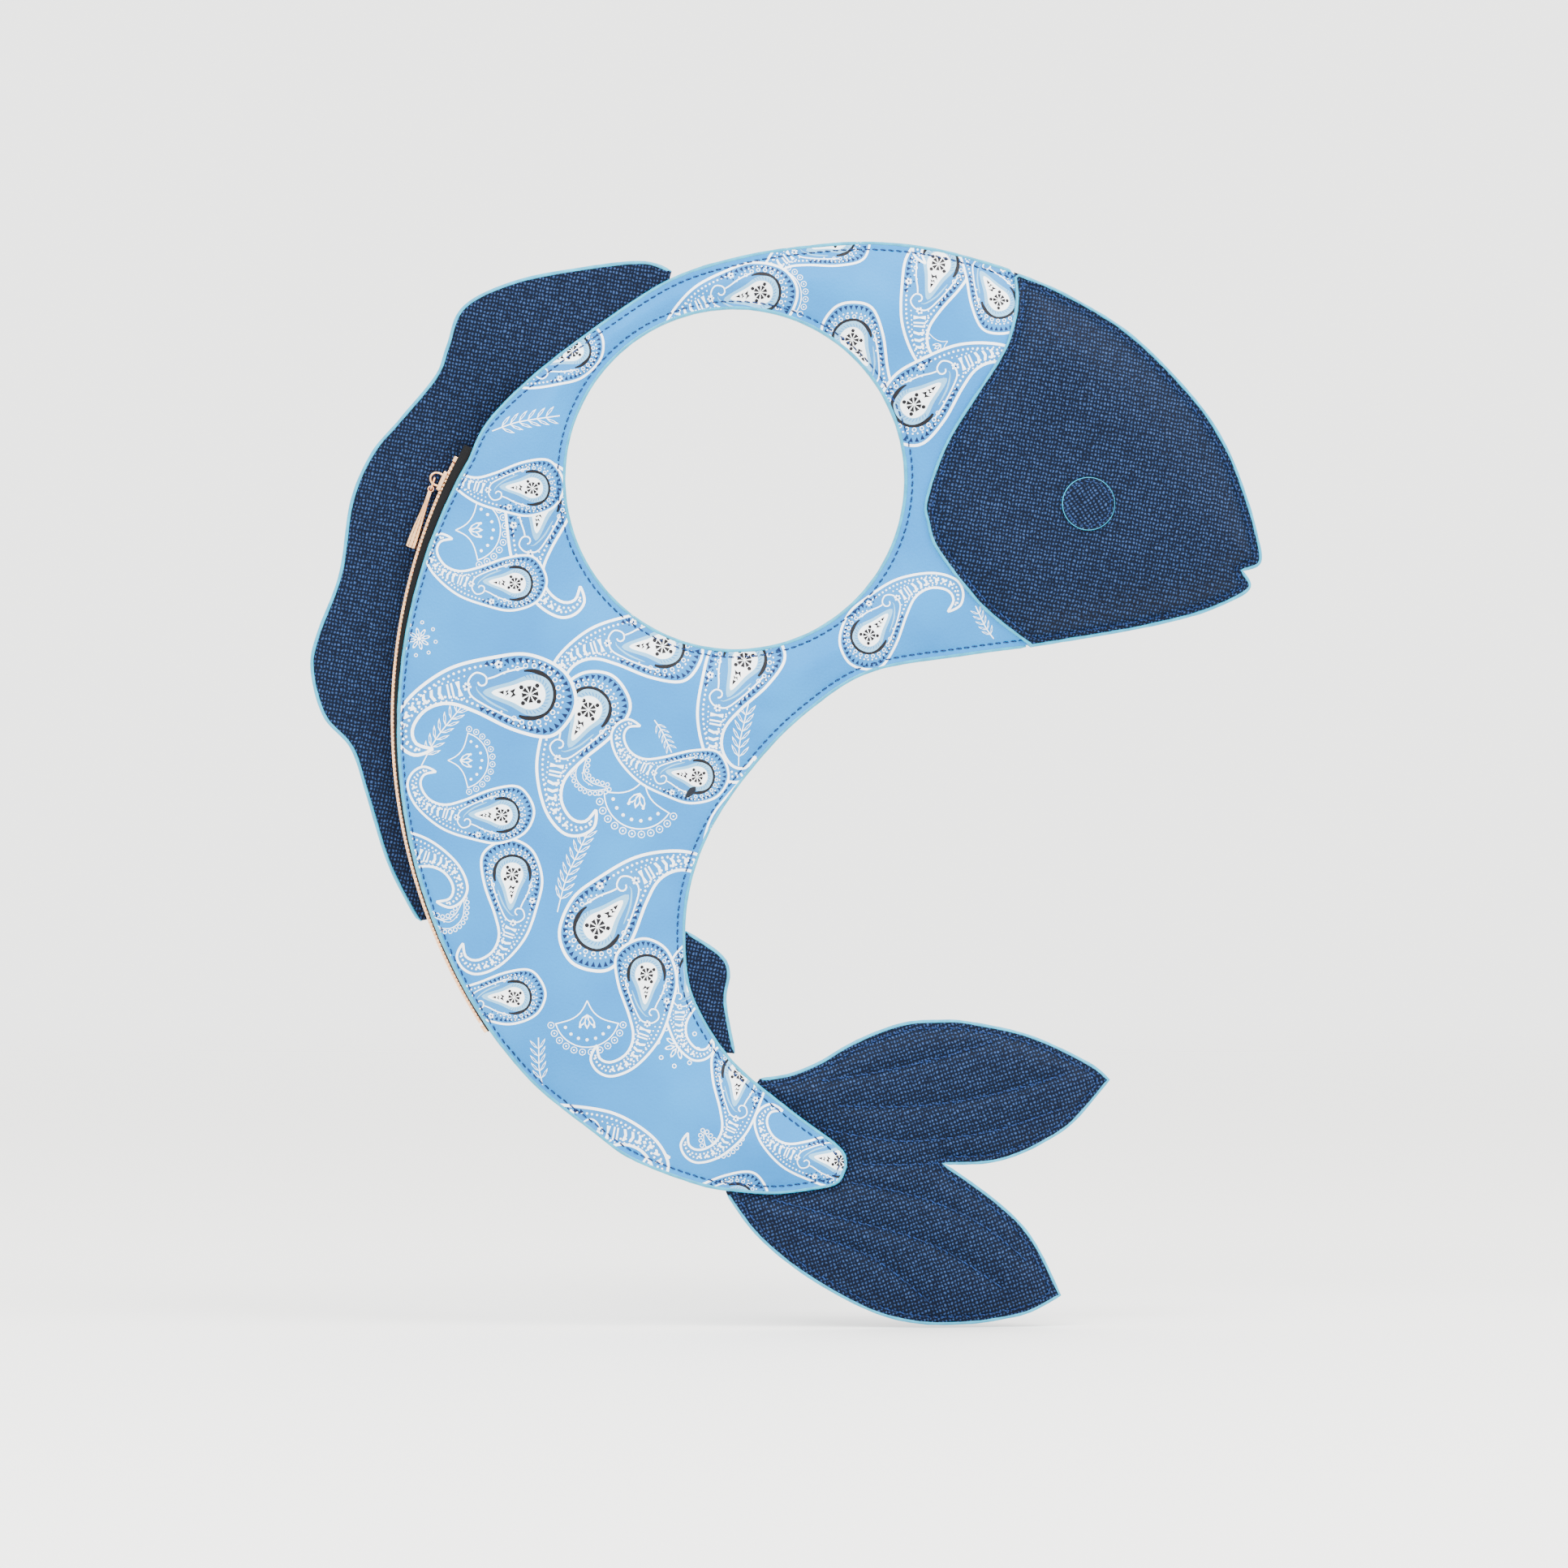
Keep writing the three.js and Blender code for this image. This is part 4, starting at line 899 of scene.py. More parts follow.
def paisley(screen, at, angle, size, curl):
    screen.stand(at, angle, size, curl)
    screen.fill("white", PAISLEY)
    screen.fill("dull", inset(PAISLEY, 0.075))
    # a row of spikes round the head turns into dots along the tail
    border = resample(np.vstack([inset(PAISLEY, 0.19), inset(PAISLEY, 0.19)[:1]]), 0.135)[:-1]
    spikes = resample(np.vstack([inset(PAISLEY, 0.13), inset(PAISLEY, 0.13)[:1]]), 0.17)[:-1]
    for p in border[border[:, 0] > 0.75]:
        screen.dot("white", p, 0.034, 5)
    for p in spikes[spikes[:, 0] < 1.2]:
        screen.spike("navy", p, -p + [0.1, 0], 0.14, 0.12)
    for p in resample(circle_line((0, 0), 0.8, 35, 325, 40), 0.135):
        screen.dot("white", p, 0.028, 5)
    for p in circle_line((0, 0), 0.69, 60, 300, 15):
        screen.ring(p, 0.062, 0.022)
    # the dark crescent, thickest at the crown
    screen.stroke("black", circle_line((0.02, 0), 0.57, 68, 287, 26), 0.17, True)
    # feathered teardrop with a star in it
    screen.fill("pale", 0.07 * np.array([-1, 0]) + DROP * [1.3, 1.42])
    for k in range(18):
        a = math.radians(80 + 12 * k)
        root = 0.39 * way(a)
        screen.stroke("dull", [root, root + 0.1 * way(a + 0.6)], 0.022)
    screen.fill("white", DROP)
    for k in range(8):
        spoke = way(math.radians(45 * k + 10))
        screen.spike("black", spoke * 0.2, -spoke, 0.18, 0.12)
        if k % 2:
            screen.dot("black", spoke * 0.27, 0.06, 6)
    for x, tall in ((0.38, 0.125), (0.53, 0.085)):
        flame = np.array([(-0.2, -1), (0.9, -0.35), (0.3, 0.1), (0.8, 1), (-0.4, 0.3), (0.1, -0.1)])
        screen.fill("black", flame * tall + [x, 0])
    screen.spike("black", (0.63, 0), (1, 0), 0.15, 0.1)
    # frame of the head, closing in a curl
    screen.stroke("white", spline([
        (0.18, 0.66), (0.62, 0.52), (1.05, 0.34), (1.42, 0.12), (1.5, -0.2), (1.34, -0.42), (1.1, -0.36),
        (1.07, -0.18), (1.2, -0.12), (1.27, -0.2)], 0.07), 0.04)
    screen.stroke("white", spline([(0.2, -0.62), (0.6, -0.5), (0.88, -0.36), (1.04, -0.3)], 0.08), 0.04)
    screen.stroke("pale", spline([(0.5, 0.44), (0.95, 0.25), (1.25, 0.02), (1.3, -0.1)], 0.08), 0.05, True)
    for k in range(5):
        a = math.radians(72 * k)
        screen.dot("white", (0.8 + 0.065 * math.cos(a), -0.66 + 0.065 * math.sin(a)), 0.04, 5)
        screen.dot("navy", (0.8 + 0.15 * math.cos(a + 0.6), -0.66 + 0.15 * math.sin(a + 0.6)), 0.028, 5)
    screen.dot("navy", (0.8, -0.66), 0.028, 5)
    # chevrons and bars down the tail, smaller towards its tip
    marks = ((0.02, "flower", 0.1), (0.22, "bow", 0.18), (0.38, "bar", 0.18), (0.48, "bar", 0.17),
             (0.62, "chevron", 0.16), (0.82, "chevron", 0.14), (1.02, "chevron", 0.12), (1.24, "gem", 0.06),
             (1.38, "arrow", 0.11), (1.62, "arrow", 0.1), (1.86, "arrow", 0.08))
    for s, kind, h in marks:
        p, t, n = along_tail(s)
        if kind == "flower":
            for k in range(6):
                screen.dot("white", p + h * 0.75 * way(math.radians(60 * k)), 0.035, 5)
            screen.dot("navy", p, 0.025, 5)
        elif kind == "bow":
            screen.fill("white", [p - 0.055 * t - n * h, p + 0.055 * t - n * h, p + 0.02 * t,
                                  p + 0.055 * t + n * h, p - 0.055 * t + n * h, p - 0.02 * t])
        elif kind == "bar":
            screen.stroke("white", [p - n * h, p + n * h], 0.045)
        elif kind == "gem":
            screen.fill("white", [p - t * h, p - n * h * 0.8, p + t * h, p + n * h * 0.8])
        elif kind == "chevron":
            screen.fill("white", [p - n * h, p - n * h + 0.07 * t, p + 0.12 * t, p + n * h + 0.07 * t,
                                  p + n * h, p + 0.045 * t])
        else:
            screen.spike("white", p, t, 0.14, 2 * h * 0.8)
    for edge in (-1, 1):
        for s in np.arange(0.02, 1.55, 0.14):
            p, _, n = along_tail(s)
            screen.dot("white", p + edge * (0.26 - 0.08 * s) * n, 0.024, 5)


def lace_fan(screen, at, angle, size):
    """A fan with a scalloped hem and a three-petalled sprig, in white line."""
    screen.stand(at, angle, size)
    hem = circle_line((0.18, 0), 0.75, -74, 74, 12)
    for p in hem:
        screen.ring(p, 0.07, 0.014, "sky", 9)
        screen.dot("white", p, 0.02, 5)
    screen.stroke("white", circle_line((0.18, 0), 0.65, -74, 74, 24), 0.022)
    for side in (-1, 1):
        screen.stroke("white", spline([(-0.1, 0), (0.12, 0.12 * side), (0.27, 0.32 * side),
                                       (0.36, 0.64 * side)], 0.1), 0.022)
        screen.dot("white", (0.42, 0.14 * side), 0.03, 5)
    for p in circle_line((0.18, 0), 0.5, -60, 60, 7):
        screen.dot("white", p, 0.034, 6)
    for a in (-32, 0, 32):
        petal = [(0, 0), (0.1, 0.05), (0.22, 0.045), (0.3, 0), (0.22, -0.045), (0.1, -0.05)]
        screen.outlined(turned_to(petal, way(math.radians(a))) + [0.17, 0], 0.62)


def lace_leaf(screen, at, angle, size):
    """A curled leaf with a beaded hem."""
    screen.stand(at, angle, size)
    leaf = spline([(-0.6, 0.35), (-0.2, 0.05), (0.25, 0.08), (0.75, 0.5), (0.5, -0.12), (0, -0.36),
                   (-0.45, -0.16)], 0.12, True)[:-1][::-1]
    leaf = leftward(leaf)
    for p in resample(np.vstack([inset(leaf, -0.1), inset(leaf, -0.1)[:1]]), 0.2)[:-1]:
        screen.ring(p, 0.085, 0.028, "sky", 8)
    screen.fill("white", leaf)
    screen.fill("sky", inset(leaf, 0.03))
    screen.stroke("white", spline([(-0.4, 0.15), (0, -0.12), (0.4, 0.05)], 0.1), 0.02)
    for x in (-0.2, 0.05, 0.28):
        screen.spike("white", (x, -0.06), (0.2, 1), 0.09, 0.05)


def fern(screen, root, tip):
    """A sprig with paired narrow leaves in white line."""
    root, tip = np.array(root, float), np.array(tip, float)
    reach = tip - root
    size = float(np.linalg.norm(reach))
    screen.stand(root, math.degrees(math.atan2(reach[1], reach[0])), size)
    stem = spline([(0, 0), (0.35, 0.03), (0.7, 0.0), (1.0, -0.03)], 0.1)
    screen.stroke("white", stem, 0.45 / size)
    count = max(int(size / 4.6), 5)
    for i in range(count):
        x = 0.14 + 0.78 * i / count
        y = float(np.interp(x, stem[:, 0], stem[:, 1]))
        for side in (-1, 1):
            long = min(6.4, 0.26 * size) / size
            leaf = np.array([(0, 0), (0.35, 0.13 * side), (0.75, 0.1 * side), (1.0, 0),
                             (0.6, -0.06 * side)]) * long
            screen.outlined(turned_to(leaf, way(math.radians(38 * side))) + [x, y])


def blossom(screen, at, size):
    screen.stand(at, 12, size)
    for k in range(8):
        a = math.radians(45 * k)
        petal = [(0.1, 0), (0.28, 0.09), (0.5, 0.07), (0.58, 0), (0.5, -0.07), (0.28, -0.09)]
        screen.outlined(turned_to(petal, way(a)))
        screen.ring(way(a + 0.39) * 0.86, 0.1, 0.035, "sky", 8)
    screen.dot("white", (0, 0), 0.1, 8)


# Motifs from the bottom of the stack to its top: [right, up] from the hole's centre, turn, size, curl.
SPRIGS = (((-78.6, -190), (-64.6, -151)), ((1.4, -126), (4.8, -98)), ((-107, 20.5), (-77.6, 28.3)),
          ((-138, -126), (-117, -94)), ((-84.8, -266), (-87.5, -245)), ((114, -70), (105, -56)),
          ((-36, -106), (-28, -120)))
FANS = ((-121, -23, 0, 21), (-124.6, -123.7, 0, 19), (-65.6, -231, 270, 22), (-41, -134, 252, 24),
        (14, 78, 42, 19), (33, -262, 232, 15), (92, 60, 210, 12))
LEAVES = ((-66, -131, -60, 12), (-126, -193, 20, 12), (-8, -292, -10, 12))
BLOSSOMS = ((-25.5, -248.8, 10.5), (-139, -70.5, 8.5))
PAISLEYS = (
    (-86, -10, 262, 15.5, 1), (45, 106, 200, 13, 1), (0, -317, 180, 13, -1), (12, -140, 215, 12, 1),
    (-17.5, -215, 250, 12, 1), (-65, -101.5, 241, 16.5, 1), (4, -79.5, 243, 16, 1),
    (-98.4, -173.5, 268, 13.9, -1),
    (-84, -291, 8, 16.5, -1), (-162.5, -165, 0, 14, -1), (1.6, -261, 262, 13, -1), (11, 82, 190, 14.5, 1),
    (-71.5, 56, 205, 13, -1), (89.6, 95, 250, 15, 1), (51.4, 61.5, 300, 14.5, 1), (78.6, 33, 40, 16, -1),
    (116, 79, 120, 13.5, 1), (58.8, -68.5, 50, 13.5, -1), (-32, -73.4, 180, 16, 1),
    (-90.5, -94.8, 176, 18.3, 1),
    (-61, -196.5, 47, 17.3, -1), (-89.5, -4.5, 180, 12.8, -1), (-97.1, -46.3, 178, 12.6, -1),
    (-17, -130.8, 172, 12.6, -1), (-103, -147.6, 180, 12.9, -1), (-39.3, -217.5, 268, 14.2, -1),
    (-97.6, -227.3, 180, 12.4, -1), (45.7, -299.6, 172, 12.5, -1))


def bandana_print():
    screen = Screen()
    for at_x, at_z, angle, size in FANS:
        lace_fan(screen, (at_x, at_z), angle, size)
    for at_x, at_z, angle, size in LEAVES:
        lace_leaf(screen, (at_x, at_z), angle, size)
    for root, tip in SPRIGS:
        fern(screen, root, tip)
    for at_x, at_z, size in BLOSSOMS:
        blossom(screen, (at_x, at_z), size)
    for at_x, at_z, angle, size, curl in PAISLEYS:
        paisley(screen, (at_x, at_z), angle, size, curl)
    return screen.shapes, [1 + PRINT_NAMES.index(ink) for ink in screen.inks]


# ---------------------------------------------------------------- body, head, tail and fins
PRINT_INKS, PRINT_NUMBERS = bandana_print()
body_materials = [PRINT_GROUND] + [PRINT_COLOURS[n] for n in PRINT_NAMES] + [PAINT, BACKING]

body_seam = inset(body_edge, (-1 if area(silhouette) < 0 else 1) * seam_inset(body_edge), False)
body_bead = inset(body_edge, -BEAD_INSET if area(silhouette) < 0 else BEAD_INSET, False)
hole_seam = arc(HOLE_CENTRE, HOLE_R + STITCH_INSET, 0, 360)[:-1]
hole_bead = arc(HOLE_CENTRE, HOLE_R + BEAD_INSET, 0, 360)[:-1]
head_loop = leftward(head_outline)
tail_loop = leftward(tail)

for name, side in SIDES:
    body_lift = body_front if side < 0 else body_back
    panel = sheet(f"{name}_panel", side, body_outline, body_lift, LEATHER, body_materials, [arm_hole],
                  PRINT_INKS, PRINT_NUMBERS, spacing=6.5)
    finish_piece(panel, "bag", "printed_leather", f"{name}_body_panel")
    painted(f"{name}_panel_edge_paint", "printed_leather", bead(side, body_bead, body_lift, False),
            bead(side, hole_bead, body_lift, True))

    def body_top(p, lift=body_lift):
        return lift(p) + LEATHER / 2

    sewn(f"{name}_panel_stitching", stitch_row(side, body_seam, body_top, False),
         stitch_row(side, hole_seam, body_top))

    head = sheet(f"{name}_head_leather", side, head_outline, head_height, LEATHER,
                 [NAVY_LEATHER, PAINT, BACKING], spacing=5.0)
    finish_piece(head, "bag", "navy_leather", f"{name}_head")
    painted(f"{name}_head_edge_paint", "navy_leather",
            bead(side, inset(head_loop, BEAD_INSET), head_height, True))

    def head_top_face(p):
        return head_height(p) + LEATHER / 2

    sewn(f"{name}_head_stitching", stitch_row(side, inset(head_loop, STITCH_INSET), head_top_face))

    # the eye lies on the flat of the head
    flat = float(head_height(EYE[None])[0]) + LEATHER / 2 + GAP
    circle = EYE + EYE_R * np.stack([np.cos(np.linspace(0, 2 * math.pi, 72, endpoint=False)),
                                     np.sin(np.linspace(0, 2 * math.pi, 72, endpoint=False))], 1)

    def eye_lift(p, base=flat):
        rim = EYE_R - np.hypot(*(p - EYE).T)
        return base + EYE_T / 2 + 0.35 * swell((rim - 1.6) / 6) - 0.12 * np.exp(-((rim - 1.7) / 0.5) ** 2)

    eye = sheet(f"{name}_eye_leather", side, circle, eye_lift, EYE_T, [EYE_LEATHER, PAINT, BACKING],
                spacing=1.6, rows=(0.5, 1.1, 1.7, 2.3, 3.0))
    finish_piece(eye, "bag", "navy_leather", f"{name}_eye")
    eye_rim = inset(circle, 0.3)
    painted(f"{name}_eye_edge_paint", "navy_leather", tube(raised(side, eye_rim, eye_lift(eye_rim)), 0.62))

    def eye_top(p, lift=eye_lift):
        return lift(p) + EYE_T / 2

    sewn(f"{name}_eye_stitching", stitch_row(side, inset(circle, 1.7), eye_top, pitch=2.9, thread=0.5))

    skin = sheet(f"{name}_tail_leather", side, tail, tail_height, TAIL_LEATHER,
                 [TAIL_NAVY, PAINT, BACKING], spacing=4.5, lines=tail_rays)
    finish_piece(skin, "bag", "navy_leather", f"{name}_tail")
    tail_bead = inset(tail_edge, 0.4 if area(tail) > 0 else -0.4, False)
    painted(f"{name}_tail_edge_paint", "navy_leather", bead(side, tail_bead, tail_height, False, 1.0))

    def tail_top(p):
        return tail_height(p) + TAIL_LEATHER / 2

    seam = inset(tail_edge, STITCH_INSET if area(tail) > 0 else -STITCH_INSET, False)
    seam = seam[~inside(body_outline, seam)]
    rows = [stitch_row(side, seam, tail_top, False)]
    rows += [stitch_row(side, ray[~inside(body_outline, ray)], tail_top, False) for ray in tail_rays]
    sewn(f"{name}_tail_stitching", *rows)

    # each fin leather sits on its own side of the fin's middle
    def fin_lift(p, side=side):
        return fin_middle(p) + side * (GAP / 2 + FIN_LEATHER / 2)

    def anal_lift(p, side=side):
        return np.full(len(p), side * (GAP / 2 + FIN_LEATHER / 2))

    for label, outline, lift in (("dorsal", dorsal_fin, fin_lift), ("anal", anal_fin, anal_lift)):
        # a fin's height is measured towards the back, so its front leather faces the other way
        def own_side(p, lift=lift, side=side):
            return side * lift(p)
        leather = sheet(f"{name}_{label}_fin_leather", side, outline, own_side, FIN_LEATHER,
                        [NAVY_LEATHER, PAINT, BACKING], spacing=8.0, rows=(1.2, 2.5, 4.0, 7.0))
        finish_piece(leather, "bag", "navy_leather", f"{name}_{label}_fin")

for label, edge, lift in (("dorsal", dorsal_fin_edge, fin_middle),
                          ("anal", anal_fin_edge, lambda p: np.zeros(len(p)))):
    painted(f"{label}_fin_edge_paint", "navy_leather",
            tube(raised(1, edge, lift(edge)), FIN_EDGE, False, 12, FIN_EDGE_DEEP, 0.12))


# ---------------------------------------------------------------- pocket lining and wadding
def pad(name, outline, low, high, material, lines=()):
    """A stuffed body between two heights, both measured from the bag's middle."""
    flat, tris, _ = triangulate(outline, [], surface_points(outline, [], 5.0, (1.0, 2.5, 5.0), lines))
    n = len(flat)
    verts = np.vstack([np.stack([flat[:, 0], height(flat), flat[:, 1]], 1) for height in (low, high)])
    edges = {}
    for a, b, c in tris:
        for edge in ((a, b), (b, c), (c, a)):
            edges[edge] = True
    walls = [(b, a, a + n, b + n) for a, b in edges if (b, a) not in edges]
    faces = tris.tolist() + (tris[:, ::-1] + n).tolist() + walls
    return new_object(name, verts, faces, [material])


head_core = inset(head_loop, 12)
tail_core = inset(tail_loop, 6)

for name, side in SIDES:
    body_lift = body_front if side < 0 else body_back

    def under_head(p, side=side, lift=body_lift):
        return side * (lift(p) + LEATHER / 2 + GAP)

    def inside_head(p, side=side):
        return side * (head_height(p) - LEATHER / 2 - GAP)

    low, high = (inside_head, under_head) if side < 0 else (under_head, inside_head)
    stuffing = pad(f"{name}_head_stuffing", head_core, low, high, WADDING)
    finish_piece(stuffing, "bag", "wadding", f"{name}_head_wadding")


def tail_core_height(p):
    return np.maximum(tail_height(p) - TAIL_LEATHER / 2 - 4 * GAP, GAP)


tail_stuffing = pad("tail_stuffing", tail_core, lambda p: -tail_core_height(p), tail_core_height, WADDING,
                    tail_rays)
finish_piece(tail_stuffing, "bag", "wadding", "tail_wadding")

for name, _ in SIDES:
    cloth = frame["nodes"][f"{name}_lining"]
    cloth.data.materials.clear()
    cloth.data.materials.append(LINING_CLOTH)


# ---------------------------------------------------------------- zip
def on_chain(angle, n=0.0):
    a = np.radians(angle)
    r = CHAIN_R + n
    return np.stack([CHAIN_CENTRE[0] - r * np.cos(a), CHAIN_CENTRE[1] + r * np.sin(a)], -1)


def rim_drop(angle):
    """How far the panel's edge lies inside the chain's circle at an angle about the chain's centre."""
    ray = np.array([-math.cos(math.radians(angle)), math.sin(math.radians(angle))])
    between = CHAIN_CENTRE - RIM_CENTRE
    along = between @ ray
    return CHAIN_R + along - math.sqrt(along ** 2 - between @ between + RIM_R ** 2)


def chain_instances(template, angles, side=1):
    """Copies of a template whose x is outward, y across and z down the zip."""
    verts, faces = template
    parts = []
    for angle in angles:
        a = math.radians(angle)
        out = np.array([-math.cos(a), 0, math.sin(a)])
        down = np.array([-math.sin(a), 0, -math.cos(a)])
        centre = on_chain(angle)
        base = np.array([centre[0], 0, centre[1]])
        v = base + verts[:, :1] * out + side * verts[:, 1:2] * np.array([0, 1, 0]) + verts[:, 2:] * down
        parts.append((v, faces if side < 0 else [f[::-1] for f in faces]))
    return parts


tooth = [solid_block((TOOTH_H, TOOTH_W - 0.5, 1.05), (0, CHAIN_SLOT + TOOTH_W / 2 + 0.25, 0), 0.22),
         solid_block((TOOTH_H * 0.62, 0.9, 0.8), (0, CHAIN_SLOT + 0.4, 0), 0.2)]
tooth = (np.vstack([tooth[0][0], tooth[1][0]]),
         tooth[0][1] + [tuple(i + len(tooth[0][0]) for i in f) for f in tooth[1][1]])
pitch_degrees = math.degrees(TOOTH_PITCH / CHAIN_R)
tooth_angles = np.arange(ZIP_BOTTOM + 0.3, ZIP_TOP - 1.3, pitch_degrees)

for name, side in SIDES:
    # the tape leaves the teeth, turns down and runs behind the panel
    rings = []
    for angle in np.linspace(ZIP_BOTTOM - 1, ZIP_TOP + 1, 150):
        drop = rim_drop(angle)
        start = CHAIN_SLOT + TOOTH_W + GAP
        line = spline(np.array([[-0.3, start], [-0.5, TAPE_BEND - 0.7], [-drop * 0.5 - 0.3, TAPE_BEND + 0.35],
                                [-drop - 0.5, TAPE_BEND + TAPE_RISE],
                                [-drop - TAPE_REACH, TAPE_BEND + TAPE_RISE]]), 1.0)
        line = resample(line, np.linalg.norm(np.diff(line, axis=0), axis=1).sum() / 14.2)
        t = np.gradient(line, axis=0)
        t /= np.linalg.norm(t, axis=1)[:, None]
        normal = np.stack([-t[:, 1], t[:, 0]], 1) * TAPE / 2
        ring = np.vstack([line + normal, (line - normal)[::-1]])
        centre = on_chain(angle, ring[:, 0])
        rings.append(np.stack([centre[:, 0], side * ring[:, 1], centre[:, 1]], 1))
    rings = rings if side > 0 else rings[::-1]
    tape = new_object(f"{name}_zip_tape_cloth", *loft(rings), [TAPE_CLOTH])
    finish_piece(tape, "bag", "zip_tape", f"{name}_zip_tape")

    offset = 0 if side < 0 else pitch_degrees / 2
    teeth = merged(f"{name}_zip_tooth_row", chain_instances(tooth, tooth_angles + offset, side), GOLD)
    finish_piece(teeth, "bag", "gold_metal", f"{name}_zip_teeth")
    stop = solid_block((TOOTH_H + 0.6, TOOTH_W + 0.3, 2.6), (0, CHAIN_SLOT + TOOTH_W / 2 - 0.15, 0), 0.4, 3)
    finish_piece(merged(f"{name}_zip_top_stop", chain_instances(stop, [ZIP_TOP - 0.75], side), GOLD),
                 "bag", "gold_metal", f"{name}_top_stop")

end = solid_block((TOOTH_H + 0.6, 2 * (CHAIN_SLOT + TOOTH_W), 3.6), (0, 0, 0), 0.5, 3)
finish_piece(merged("zip_bottom_stop", chain_instances(end, [ZIP_BOTTOM - 0.55]), GOLD),
             "bag", "gold_metal", "bottom_stop")

# ---------------------------------------------------------------- slider and pull
PLATE_AT = TOOTH_H / 2 + 0.45
WALL = 1.0
SLIDER_HALF = CHAIN_SLOT + TOOTH_W + 0.45 + WALL
slider_parts = [
    solid_block((WALL, 2 * SLIDER_HALF, 9.0), (PLATE_AT + WALL / 2, 0, 0), 0.42, 3),
    solid_block((WALL, 2 * SLIDER_HALF, 9.0), (-PLATE_AT - WALL / 2, 0, 0), 0.42, 3),
    solid_block((2 * PLATE_AT + 0.4, 1.0, 3.0), (0, 0, -3.0), 0.3),
]
for y in (-1, 1):
    for x in (-1, 1):
        flange_at = (x * (PLATE_AT - 0.25), y * (SLIDER_HALF - WALL / 2), 0)
        slider_parts.append(solid_block((1.15, WALL, 8.6), flange_at, 0.25))
slider_parts = [p for part in slider_parts for p in chain_instances(part, [SLIDER_ANGLE])]
finish_piece(merged("slider_casting", slider_parts, GOLD), "slider", "gold_metal", "slider_body")

foot = PLATE_AT + WALL
arch = spline(np.array([[foot - 0.3, -2.6], [foot + 1.2, -2.75], [foot + 3.0, -2.3], [foot + 4.2, -0.8],
                        [foot + 4.2, 0.8], [foot + 3.0, 2.3], [foot + 1.2, 2.75], [foot - 0.3, 2.6]]), 0.35)
bridge = tube(np.stack([arch[:, 0], np.zeros(len(arch)), arch[:, 1]], 1), 0.62, False, 14, 1.6, taper=False)
finish_piece(merged("slider_bridge", chain_instances(bridge, [SLIDER_ANGLE]), GOLD),
             "slider", "gold_metal", "slider_bail")

link_at = np.array(link_joint["pos_m"]) / MM
pull_at = np.array(pull_joint["pos_m"]) / MM
hang = (pull_at - link_at) / np.linalg.norm(pull_at - link_at)
wide = np.array([hang[2], 0, -hang[0]])


def hung(part, origin):
    verts, faces = part
    v = origin + verts[:, :1] * wide + verts[:, 1:2] * np.array([0, 1, 0]) + verts[:, 2:] * hang
    return v, faces


span = float(np.linalg.norm(pull_at - link_at))
ring_line = spline(np.array([
    [0, -1.0, 0], [0, 1.0, 0], [0, 1.8, 0.8], [0, 1.85, span / 2], [0, 1.8, span - 0.8], [0, 1.0, span],
    [0, -1.0, span], [0, -1.8, span - 0.8], [0, -1.85, span / 2], [0, -1.8, 0.8]]), 0.3, True)[:-1]


def loop_tube(line, radius, sides=12):
    """A round wire bent into a closed loop that lies in the plane across the pull."""
    t = np.roll(line, -1, axis=0) - np.roll(line, 1, axis=0)
    t /= np.linalg.norm(t, axis=1)[:, None]
    u = np.tile([1.0, 0.0, 0.0], (len(line), 1))
    v = np.cross(t, u)
    a = np.linspace(0, 2 * math.pi, sides, endpoint=False)
    ring = line[:, None] + radius * (np.cos(a)[None, :, None] * u[:, None]
                                     + np.sin(a)[None, :, None] * v[:, None])
    n = len(line)
    faces = [(i * sides + k, i * sides + (k + 1) % sides, ((i + 1) % n) * sides + (k + 1) % sides,
              ((i + 1) % n) * sides + k) for i in range(n) for k in range(sides)]
    return ring.reshape(-1, 3), faces


finish_piece(merged("pull_link_ring", [hung(loop_tube(ring_line, 0.45), link_at)], GOLD),
             "link", "gold_metal", "pull_link")

# the pull: an eye, a narrow neck and a flared bar with three flutes
turn = np.linspace(0, 2 * math.pi, 48, endpoint=False)
eye_line = np.stack([1.15 * np.cos(turn), np.zeros(48), 1.15 * np.sin(turn)], 1)
eye_part = tube(eye_line, 0.42, True, 12, 1.5)
BAR_TOP, BAR_END = 1.1, 27.2
sections = []
for z in np.concatenate([[BAR_TOP], np.linspace(1.5, 26.6, 40), [26.95, BAR_END]]):
    share = (z - BAR_TOP) / (BAR_END - BAR_TOP)
    half_w = 0.95 + 1.4 * ease(np.array([share * 1.05]))[0]
    half_t = 0.5 + 0.3 * min(share * 5, 1)
    end_round = 0.72 if z in (BAR_TOP, BAR_END) else 1.0
    across = np.linspace(-1, 1, 41)
    face = half_t * np.sqrt(1 - across ** 8) * (0.78 + 0.2 * min(share * 4, 1) * np.cos(3 * math.pi * across))
    ring = np.vstack([np.stack([half_w * across, face], 1), np.stack([half_w * across, -face], 1)[-2:0:-1]])
    sections.append(np.column_stack([ring * end_round, np.full(len(ring), z)]))
bar_part = loft(sections)
finish_piece(merged("pull_bar_fluted", [hung(eye_part, pull_at), hung(bar_part, pull_at)], GOLD),
             "pull", "gold_metal", "pull_bar")

